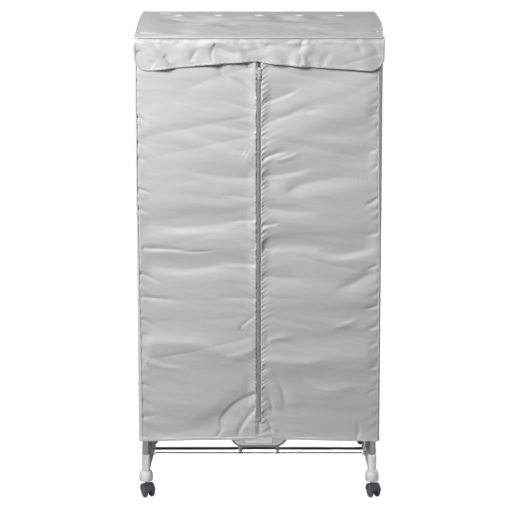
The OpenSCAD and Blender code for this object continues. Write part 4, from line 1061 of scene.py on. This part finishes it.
columns, rows = 241, 171
s = np.linspace(-1, 1, columns)[:, None] + np.zeros((1, rows))
y = np.linspace(-roof_hy, roof_hy, rows)[None, :] + np.zeros((columns, 1))
x = s*roof_hx + np.sign(s)*roof_bow(s, y)*abs(s)**3
mid_x, mid_y = (x[1:, 1:] + x[:-1, :-1])/2, (y[1:, 1:] + y[:-1, :-1])/2
open_roof = np.min([np.hypot(mid_x - a, mid_y - eyelet_y) for a in eyelet_x], 0) > 8.4*MM
roof_points = np.stack([x, y, roof_seam_z + 0.6*MM + roof_height(x, y)], -1)
roof_faces = grid_faces(columns, rows, keep=open_roof)
roof = piece("roof_cloth", roof_points, [f[::-1] for f in roof_faces], roof_toned_cloth, "root", "coated_cloth")
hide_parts("cover_roof")
thicken(roof, cloth_t)
cut_from(roof, 2*roof_hx, 2*roof_hy, ["cover_piping", "corner_elbow_fl"], held="laid")
print("roof faces", len(roof_faces))

# %% [markdown]
# Each eyelet holds a little disc of fine wire gauze, so that damp air gets out and dust stays out. The
# wires are thin bars that cross in two layers.

# %% Gauze in the eyelets
wires = []
wire, wire_gap, gauze_r = 0.34*MM, 0.85*MM, 5.9*MM
gauze_z = eyelet_box[1].z - 0.9*MM
for centre in eyelet_x:
    for offset in np.arange(-6, 7)*wire_gap:
        reach = math.sqrt(gauze_r**2 - offset**2)
        wires.append(block((centre, eyelet_y + offset, gauze_z), (reach, wire/2, wire/2)))
        wires.append(block((centre + offset, eyelet_y, gauze_z + wire*0.8), (wire/2, reach, wire/2)))
piece("eyelet_gauze", *joined(wires), eyelet_metal, "root", "bright_steel", smooth=False)
print("wires", len(wires))

# %% [markdown]
# Corded seams run round the roof and down the four corners: a cord wrapped in a strip of the cloth.
# The hem is bound with a folded strip that goes all the way round.

# %% Cords and hem binding


def rounded_loop(half_x, half_y, radius, z, step=6*MM):
    """A closed path round the cover, anticlockwise from above. z gives its height at (x, y)."""
    arcs = []
    for k, (sx, sy) in enumerate([(1, -1), (1, 1), (-1, 1), (-1, -1)]):
        turn = np.radians(90*(k - 1) + np.linspace(0, 90, 5))
        arcs.append(np.stack([sx*(half_x - radius) + radius*np.cos(turn),
                              sy*(half_y - radius) + radius*np.sin(turn)], 1))
    points = []
    for arc, following in zip(arcs, arcs[1:] + arcs[:1]):
        start, straight = arc[-1], following[0] - arc[-1]
        count = max(2, int(np.linalg.norm(straight)/step))
        points += [arc, start + straight*np.linspace(0, 1, count + 1)[1:-1, None]]
    flat = np.concatenate(points)
    return np.column_stack([flat, z(flat[:, 0], flat[:, 1])])


cords = []
roof_loop = rounded_loop(roof_hx + 1*MM, cover_depth + 0.5*MM, 4*MM,
                         lambda x, y: roof_seam_z + 0.5*MM*field(x/0.05, y/0.05, 511))
x, y = roof_loop[:, 0], roof_loop[:, 1]
roof_loop[:, 0] = x + np.sign(x)*roof_bow(x, y)*(abs(x) > 300*MM)
cords.append(sweep(roof_loop, oval(2.3*MM, 2.3*MM, 10), (0, 0, 1), closed=True))
heights = np.linspace(cloth_low - 2*MM, cloth_high, 200)
for side in (-1, 1):
    front_seam = np.column_stack([side*(seam_x(side, heights) + 0.35*MM*field(heights/0.04, heights*0, 521)),
                                  -cover_depth + 1.3*MM + 0*heights, heights])
    back_seam = np.column_stack([side*(half_width(heights) - 2.0*MM),
                                 cover_depth - 2.0*MM + 0*heights, heights])
    for line in (front_seam, back_seam):
        cords.append(sweep(line, oval(2.0*MM, 2.0*MM, 8), (0, 1, 0)))
cord_piece = piece("corded_seams", *joined(cords), cover_material, "root", "coated_cloth")


def hem_height(x, y):
    front = rise((-y - cover_depth + 60*MM)/(58*MM))
    return hem_z + (hem_line(x) - hem_z)*front + binding_h/2 + 0.7*MM*field(y/0.07, x/0.09, 531)*(1 - front)


hem_path = rounded_loop(half_width(hem_z) + 0.1*MM, cover_depth + 0.1*MM, 9*MM, hem_height)
hem_section = oval(0.95*MM, binding_h/2, 10, 0.55)
hem_binding = piece("hem_binding", *sweep(hem_path, hem_section, (0, 0, 1), closed=True), binding_material,
                    "root", "seam_binding")
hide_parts("cover_piping")
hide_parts("cover_piping")
print("cord seams", len(cords))

# %% [markdown]
# A coil zip is a nylon coil sewn to the edge of each woven tape. The turns of the two coils lie
# between each other, and above the slider they part. Each turn is a small rounded block here.

# %% Zip tapes and coils
slider_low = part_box("zip_slider")[0].z
tape_low, tape_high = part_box("zip_tape_left")[0].z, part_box("zip_tape_left")[1].z
tape_plane = cover_front + 1.2*MM                # where the tapes lie behind the cloth
tooth_pitch = 1.7*MM
tape_w = 17*MM
TAPE_COLUMNS, TAPE_ROWS = 12, 340
nylon = plastic_material("Zip nylon", (0.44, 0.445, 0.45), 0.4, 0.02*MM, scuffs=0.1)


def capsule(centres, length, width, height, sides=6):
    """Rounded blocks along x, one at each centre."""
    a = np.arange(sides)*2*math.pi/sides
    ring = np.stack([0*a, np.cos(a)*height/2, np.sin(a)*width/2], 1)
    ends = ((-0.5, 0.45), (-0.36, 1), (0.36, 1), (0.5, 0.45))       # place along it, size of the ring
    shape = np.concatenate([ring*size + np.array([along*length, 0, 0]) for along, size in ends])
    many = (np.asarray(centres)[:, None] + shape[None]).reshape(-1, 3)
    return many, copied(tube_faces(len(ends), sides), len(centres), len(shape))


def parting(z):
    """How far a coil is drawn aside: nothing under the slider, 1.8 mm over it."""
    return 1.8*MM*rise((z - slider_low - 9*MM)/(10*MM))


for side, body in ((-1, "door_left"), (1, "door_right")):
    solid = "zip_tape_left" if side < 0 else "zip_tape_right"
    z = np.arange(tape_low + 1*MM, tape_high - 1*MM, tooth_pitch) + (tooth_pitch/2 if side > 0 else 0)
    centres = np.column_stack([side*(1.25*MM + parting(z)), tape_plane - 0.85*MM + 0*z, z])
    turns = capsule(centres, 3.2*MM, 0.72*MM, 1.5*MM)
    teeth = piece("zip_coil_" + solid[9:], *turns, nylon, body, "zip_tape")
    u, v = np.linspace(0, 1, TAPE_COLUMNS)[:, None], np.linspace(0, 1, TAPE_ROWS)[None, :]
    z = tape_low + (tape_high - tape_low)*v + 0*u
    x = side*(0.5*MM + parting(z) + (tape_w - 0.5*MM - parting(z))*u)
    sewn = rise((abs(x) - zip_hw)/(2*MM))            # the tape follows the cloth that it is sewn to
    points = np.stack([x, tape_plane - sewn*(front_relief(x, z) - 0.1*MM), z], -1)
    tape = piece(solid[4:] + "_cloth", points[::side], grid_faces(TAPE_COLUMNS, TAPE_ROWS),
                 tape_material, body, "zip_tape")
    thicken(tape, 0.7*MM)
    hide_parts(solid)
    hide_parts(solid)
    cut_from(tape, tape_w, tape_high - tape_low, ["front_cloth_" + solid[9:]], held="stretched")
print("turns in each coil", int((tape_high - tape_low)/tooth_pitch))

# %% [markdown]
# Seams are sewn with long stitches: one row on each side of the zip, which runs on down to the hem,
# one on the flap's bound edge and one on the hem binding. Each stitch is a short rounded bar that
# lies on the cloth along its seam.

# %% Stitches


def stitches(name, path, body, normal, pitch=3.4*MM, length=2.5*MM, thread=0.42*MM, blend=None):
    """A row of stitches along a path of points, lifted off the cloth along the normal."""
    path = np.asarray(path, float)
    run = np.concatenate([[0], np.cumsum(np.linalg.norm(np.diff(path, axis=0), axis=1))])
    middles = np.arange(pitch, run[-1] - pitch, pitch)
    at = lambda d: np.stack([np.interp(d, run, path[:, k]) for k in range(3)], 1)
    start, end = at(middles - length/2), at(middles + length/2)
    lift = np.asarray(normal)*0.1*MM
    shares, sizes, sides = (0, 0.15, 0.85, 1), (0.4, 1, 1, 0.4), 5
    forward = (end - start)/np.linalg.norm(end - start, axis=1)[:, None]
    out = np.broadcast_to(np.asarray(normal, float), forward.shape)
    across = np.cross(forward, out)
    rings = []
    for share, size in zip(shares, sizes):
        for k in range(sides):
            a = 2*math.pi*k/sides
            rings.append(start + (end - start)*share + lift
                         + thread/2*size*(math.cos(a)*out + math.sin(a)*across))
    many = np.stack(rings, 1).reshape(-1, 3)
    faces = copied(tube_faces(len(shares), sides), len(middles), len(shares)*sides)
    row = piece(name, many, faces,
                thread_material, None if blend else body, "seam_binding")
    if blend:
        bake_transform(row)
    return len(middles)


total = 0
for side, word in ((-1, "left"), (1, "right")):
    for seam, body, low, high in (("zip", "door_" + word, sill_z + 2*MM, roof_seam_z - flap_drop - 3*MM),
                                  ("sill", "root", hem_z + binding_h, sill_z - 1*MM)):
        z = np.linspace(float(low), float(high), 500)
        x = np.full_like(z, side*(zip_hw + 2.6*MM))
        points = np.stack([x, cover_front - front_relief(x, z), z], 1)
        total += stitches(seam + "_stitches_" + word, points, body, (0, -1, 0))
ahead = tangents(flap_line)
inner = flap_line + np.stack([-ahead[:, 1], ahead[:, 0]], 1)*1.7*MM
total += stitches("flap_stitches", on_flap(*inner.T, 1.15*MM), "front_flap", (0, -1, 0), blend=flap_bend)
x = np.linspace(-(hem_hw - 12*MM), hem_hw - 12*MM, 400)
hem_row = np.stack([x, np.full_like(x, -cover_depth - 1.05*MM), hem_line(x) + 6.2*MM], 1)
total += stitches("hem_stitches", hem_row, "root", (0, -1, 0))
print("stitches", total)

# %% [markdown]
# Where the zip ends, a bar of close stitches holds both tapes to the sill so that the cloth can't tear.

# %% Bar tack
stop_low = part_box("zip_bottom_stop")[0]
bars = [(0, stop_low.y - 0.12*MM, stop_low.z + 1.5*MM + k*1.0*MM) for k in range(9)]
piece("zip_bar_tack", *capsule(bars, 8.4*MM, 0.6*MM, 0.5*MM), thread_material, "root", "zip_tape")
print("bar tack of", len(bars), "stitches")

# %% [markdown]
# The heater's front panel carries one small bare plate with an ochre edge, seen just below the hem.
# Behind the cloth, the timer has a ring of plain numbers and ticks, and screws hold the panel.

# %% Panel plate and dial
panel_low, panel_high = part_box("control_panel")
knob_low, knob_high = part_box("timer_knob")
knob_x, knob_z = (knob_low.x + knob_high.x)/2, (knob_low.z + knob_high.z)/2
plate_material = plastic_material("Plate", (0.78, 0.78, 0.77), 0.35, 0.03*MM, scuffs=0.1)
ochre_ink = plastic_material("Ochre print", (0.58, 0.38, 0.12), 0.5, 0.02*MM, scuffs=0.1)
# Dark ink for the dial's print, and also painted shade for the cross slot of each screw.
dark_print_and_slot_shade = plastic_material("Dark print and slot shade", (0.03, 0.03, 0.035), 0.5, 0.02*MM, scuffs=0.1)


def rounded_plate(name, x0, x1, z0, z1, radius, y, thick, material, slot, steps=6):
    """A flat plate with rounded corners that faces the front."""
    outline = []
    for cx, cz, first in ((x1 - radius, z1 - radius, 0), (x0 + radius, z1 - radius, 90),
                          (x0 + radius, z0 + radius, 180), (x1 - radius, z0 + radius, 270)):
        outline += [(cx + radius*math.cos(math.radians(first + 90*k/steps)),
                     cz + radius*math.sin(math.radians(first + 90*k/steps))) for k in range(steps + 1)]
    n = len(outline)
    points = [(a, y, b) for a, b in outline] + [(a, y - thick, b) for a, b in outline]
    faces = [tuple(range(n)), tuple(range(n, 2*n))[::-1]]
    faces += [(k, k + n, (k + 1) % n + n, (k + 1) % n) for k in range(n)]
    return piece(name, points, faces, material, "root", slot, smooth=False)


face_y = panel_low.y
rounded_plate("panel_plate", -42*MM, 40.5*MM, 130*MM, 154*MM, 5*MM, face_y + 0.2*MM, 0.8*MM,
                      ochre_ink, "grey_plastic")
rounded_plate("panel_plate_inlay", -40.2*MM, 38.7*MM, 131.8*MM, 152.2*MM, 3.6*MM, face_y - 0.5*MM, 0.25*MM,
                      plate_material, "grey_plastic")


def dial_text(text, x, z, height):
    """A number in relief on the panel."""
    curve = bpy.data.curves.new("number_" + text, "FONT")
    curve.body, curve.size, curve.extrude = text, height, 0.1*MM
    curve.align_x, curve.align_y = "CENTER", "CENTER"
    flat = bpy.data.objects.new("number_" + text, curve)
    bpy.context.scene.collection.objects.link(flat)
    bpy.context.view_layer.update()
    mesh = bpy.data.meshes.new_from_object(flat)
    bpy.data.objects.remove(flat)
    corners = np.array([v.co[:] for v in mesh.vertices])
    polygons = [tuple(f.vertices) for f in mesh.polygons]
    bpy.data.meshes.remove(mesh)
    return np.stack([x + corners[:, 0], face_y - 0.05*MM - corners[:, 2], z + corners[:, 1]], 1), polygons


dial = []
for minutes in range(0, 181, 15):
    angle = math.radians(210 - minutes*240/180)
    reach = 20.2*MM
    cx, cz = knob_x + reach*math.cos(angle), knob_z + reach*math.sin(angle)
    if cz > panel_high.z - 1.5*MM:
        continue
    long = 1.5*MM if minutes % 60 else 2.6*MM
    ux, uz = math.cos(angle), math.sin(angle)
    corners = [(cx + a*long/2*ux - b*0.3*MM*uz, cz + a*long/2*uz + b*0.3*MM*ux)
               for a, b in ((-1, -1), (1, -1), (1, 1), (-1, 1))]
    bar = [(a, face_y + d, c) for d in (0.1*MM, -0.15*MM) for a, c in corners]
    dial.append((np.array(bar), [face[::-1] for face in BLOCK_FACES]))
    if minutes % 60 == 0:
        out = reach + 5.2*MM
        tx, tz = knob_x + out*ux, knob_z + out*uz
        if tz < panel_high.z - 3*MM:
            dial.append(dial_text(str(minutes), tx, tz, 4.4*MM))
marks = piece("dial_marks", *joined(dial), dark_print_and_slot_shade, "root", "black_plastic", smooth=False)


def screw(name, x, z):
    """A pan head with a cross slot, drawn as rings with a dark cross stuck on it as painted shade for the
    slot.
    """
    sides = 24
    a = np.arange(sides)*2*math.pi/sides
    rings = [np.stack([x + r*np.cos(a), 0*a + face_y - d, z + r*np.sin(a)], 1)
             for r, d in ((3*MM, -0.1*MM), (3*MM, 0.5*MM), (2.4*MM, 1.1*MM), (1.2*MM, 1.4*MM))]
    head = np.concatenate(rings + [np.array([[x, face_y - 1.45*MM, z]])])
    top, last = len(head) - 1, (len(rings) - 1)*sides
    faces = tube_faces(len(rings), sides)[:-2]                  # without the two end faces
    faces += [(last + j, last + (j + 1) % sides, top) for j in range(sides)]
    piece(name, head, faces, nickel, "root", "bright_steel")
    slot_shades = []
    # Painted shade: the slot is not cut in. A dark cross stands on the head where the recess would be in
    # shade.
    for w, h in ((1.9*MM, 0.35*MM), (0.35*MM, 1.9*MM)):
        slot_shades.append(block((x, face_y - 1.25*MM, z), (w, 0.25*MM, h)))
    piece(name + "_slot_shade", *joined(slot_shades), dark_print_and_slot_shade, "root", "bright_steel", smooth=False)


for k, (sx, sz) in enumerate([(-74*MM, 184*MM), (74*MM, 184*MM)]):
    screw(f"panel_screw_{k + 1}", sx, sz)
print("dial marks and numbers", len(dial))

# %% [markdown]
# The cabinet was photographed on seamless white paper, which leaves no horizon. Here the floor is a
# pale plane that glows a little towards the camera only, so it comes out white under the wheels and
# still keeps their soft shadow. A wide soft lamp high on the left gives the front its fall from
# light to dark and shows every fold. A narrow card near the floor lights the heater and the feet, as
# the white paper does on the real set, and two weak lamps keep the back and the side readable.
# Chrome shows what stands round it, so the world has dark flags in it that only mirrors see.

# %% Floor and light
def stage_floor():
    bpy.ops.mesh.primitive_plane_add(size=30)
    floor = bpy.context.object
    floor.name = "studio_floor"
    material, tree, shader = new_material("Pale floor")
    shader.inputs["Base Color"].default_value = (0.26, 0.26, 0.26, 1)
    shader.inputs["Roughness"].default_value = 0.9
    shader.inputs["Specular IOR Level"].default_value = 0.1
    seen = node(tree, "LightPath").outputs["Is Camera Ray"]
    glow = node(tree, "Emission", {"Color": (1, 1, 1, 1), "Strength": times(tree, seen, 0.96)})
    both = node(tree, "AddShader", {0: shader.outputs[0], 1: glow.outputs[0]})
    tree.links.new(both.outputs[0], tree.nodes["Material Output"].inputs["Surface"])
    floor.data.materials.append(material)


def area_light(name, place, target, size, power, height=None, spread=180):
    data = bpy.data.lights.new(name, "AREA")
    data.shape, data.size, data.energy = "DISK" if height is None else "RECTANGLE", size, power
    data.size_y, data.spread = height or size, math.radians(spread)
    light = bpy.data.objects.new(name, data)
    light.location = place
    light.rotation_euler = (Vector(target) - Vector(place)).to_track_quat("-Z", "Y").to_euler()
    bpy.context.scene.collection.objects.link(light)


def studio_world(ambient):
    """White to the camera, dim as light, and with dark flags in it for the chrome to mirror."""
    world = bpy.data.worlds.new("Studio")
    bpy.context.scene.world = world
    world.use_nodes = True
    tree = world.node_tree
    path = node(tree, "LightPath").outputs
    axes = node(tree, "SeparateXYZ", {0: node(tree, "TexCoord").outputs["Generated"]}).outputs
    turn = calc(tree, "ARCTAN2", axes[0], times(tree, axes[1], -1.0))    # 0 towards the camera
    mirror = 0.78
    for centre, width in ((-1.15, 0.30), (-0.35, 0.10), (0.62, 0.16), (1.5, 0.34)):
        off = calc(tree, "ABSOLUTE", calc(tree, "SUBTRACT", turn, centre))
        flag = node(tree, "MapRange", {"Value": off, "From Min": width*0.6, "From Max": width,
                                                 "To Min": 0.62, "To Max": 0.0}).outputs[0]
        mirror = calc(tree, "SUBTRACT", mirror, flag)
    glossy = path["Is Glossy Ray"]
    lit = node(tree, "MapRange", {"Value": glossy, "To Min": ambient, "To Max": mirror}).outputs[0]
    seen = calc(tree, "MAXIMUM", path["Is Camera Ray"], path["Is Transmission Ray"])
    strength = node(tree, "MapRange", {"Value": seen, "To Min": lit, "To Max": 1.0}).outputs[0]
    back = tree.nodes["Background"]
    back.inputs["Color"].default_value = (1, 1, 1, 1)
    tree.links.new(strength, back.inputs["Strength"])


stage_floor()
studio_world(0.11)
area_light("Key", (-1.8, -1.9, 2.7), (0.1, 0, 0.8), 0.9, 132)
area_light("Fill", (0.8, -4.2, 0.5), (0, 0, 0.3), 1.6, 5)
area_light("Back light", (0.9, 3.0, 1.0), (0, 0, 0.7), 1.4, 46)
area_light("Side light", (3.0, 0.5, 1.0), (0, 0, 0.7), 1.2, 30)
area_light("Low card", (-0.05, -1.3, 0.03), (-0.05, -0.24, 0.10), 0.9, 0.22, height=0.03, spread=12)
bpy.context.scene.view_settings.view_transform = "Standard"
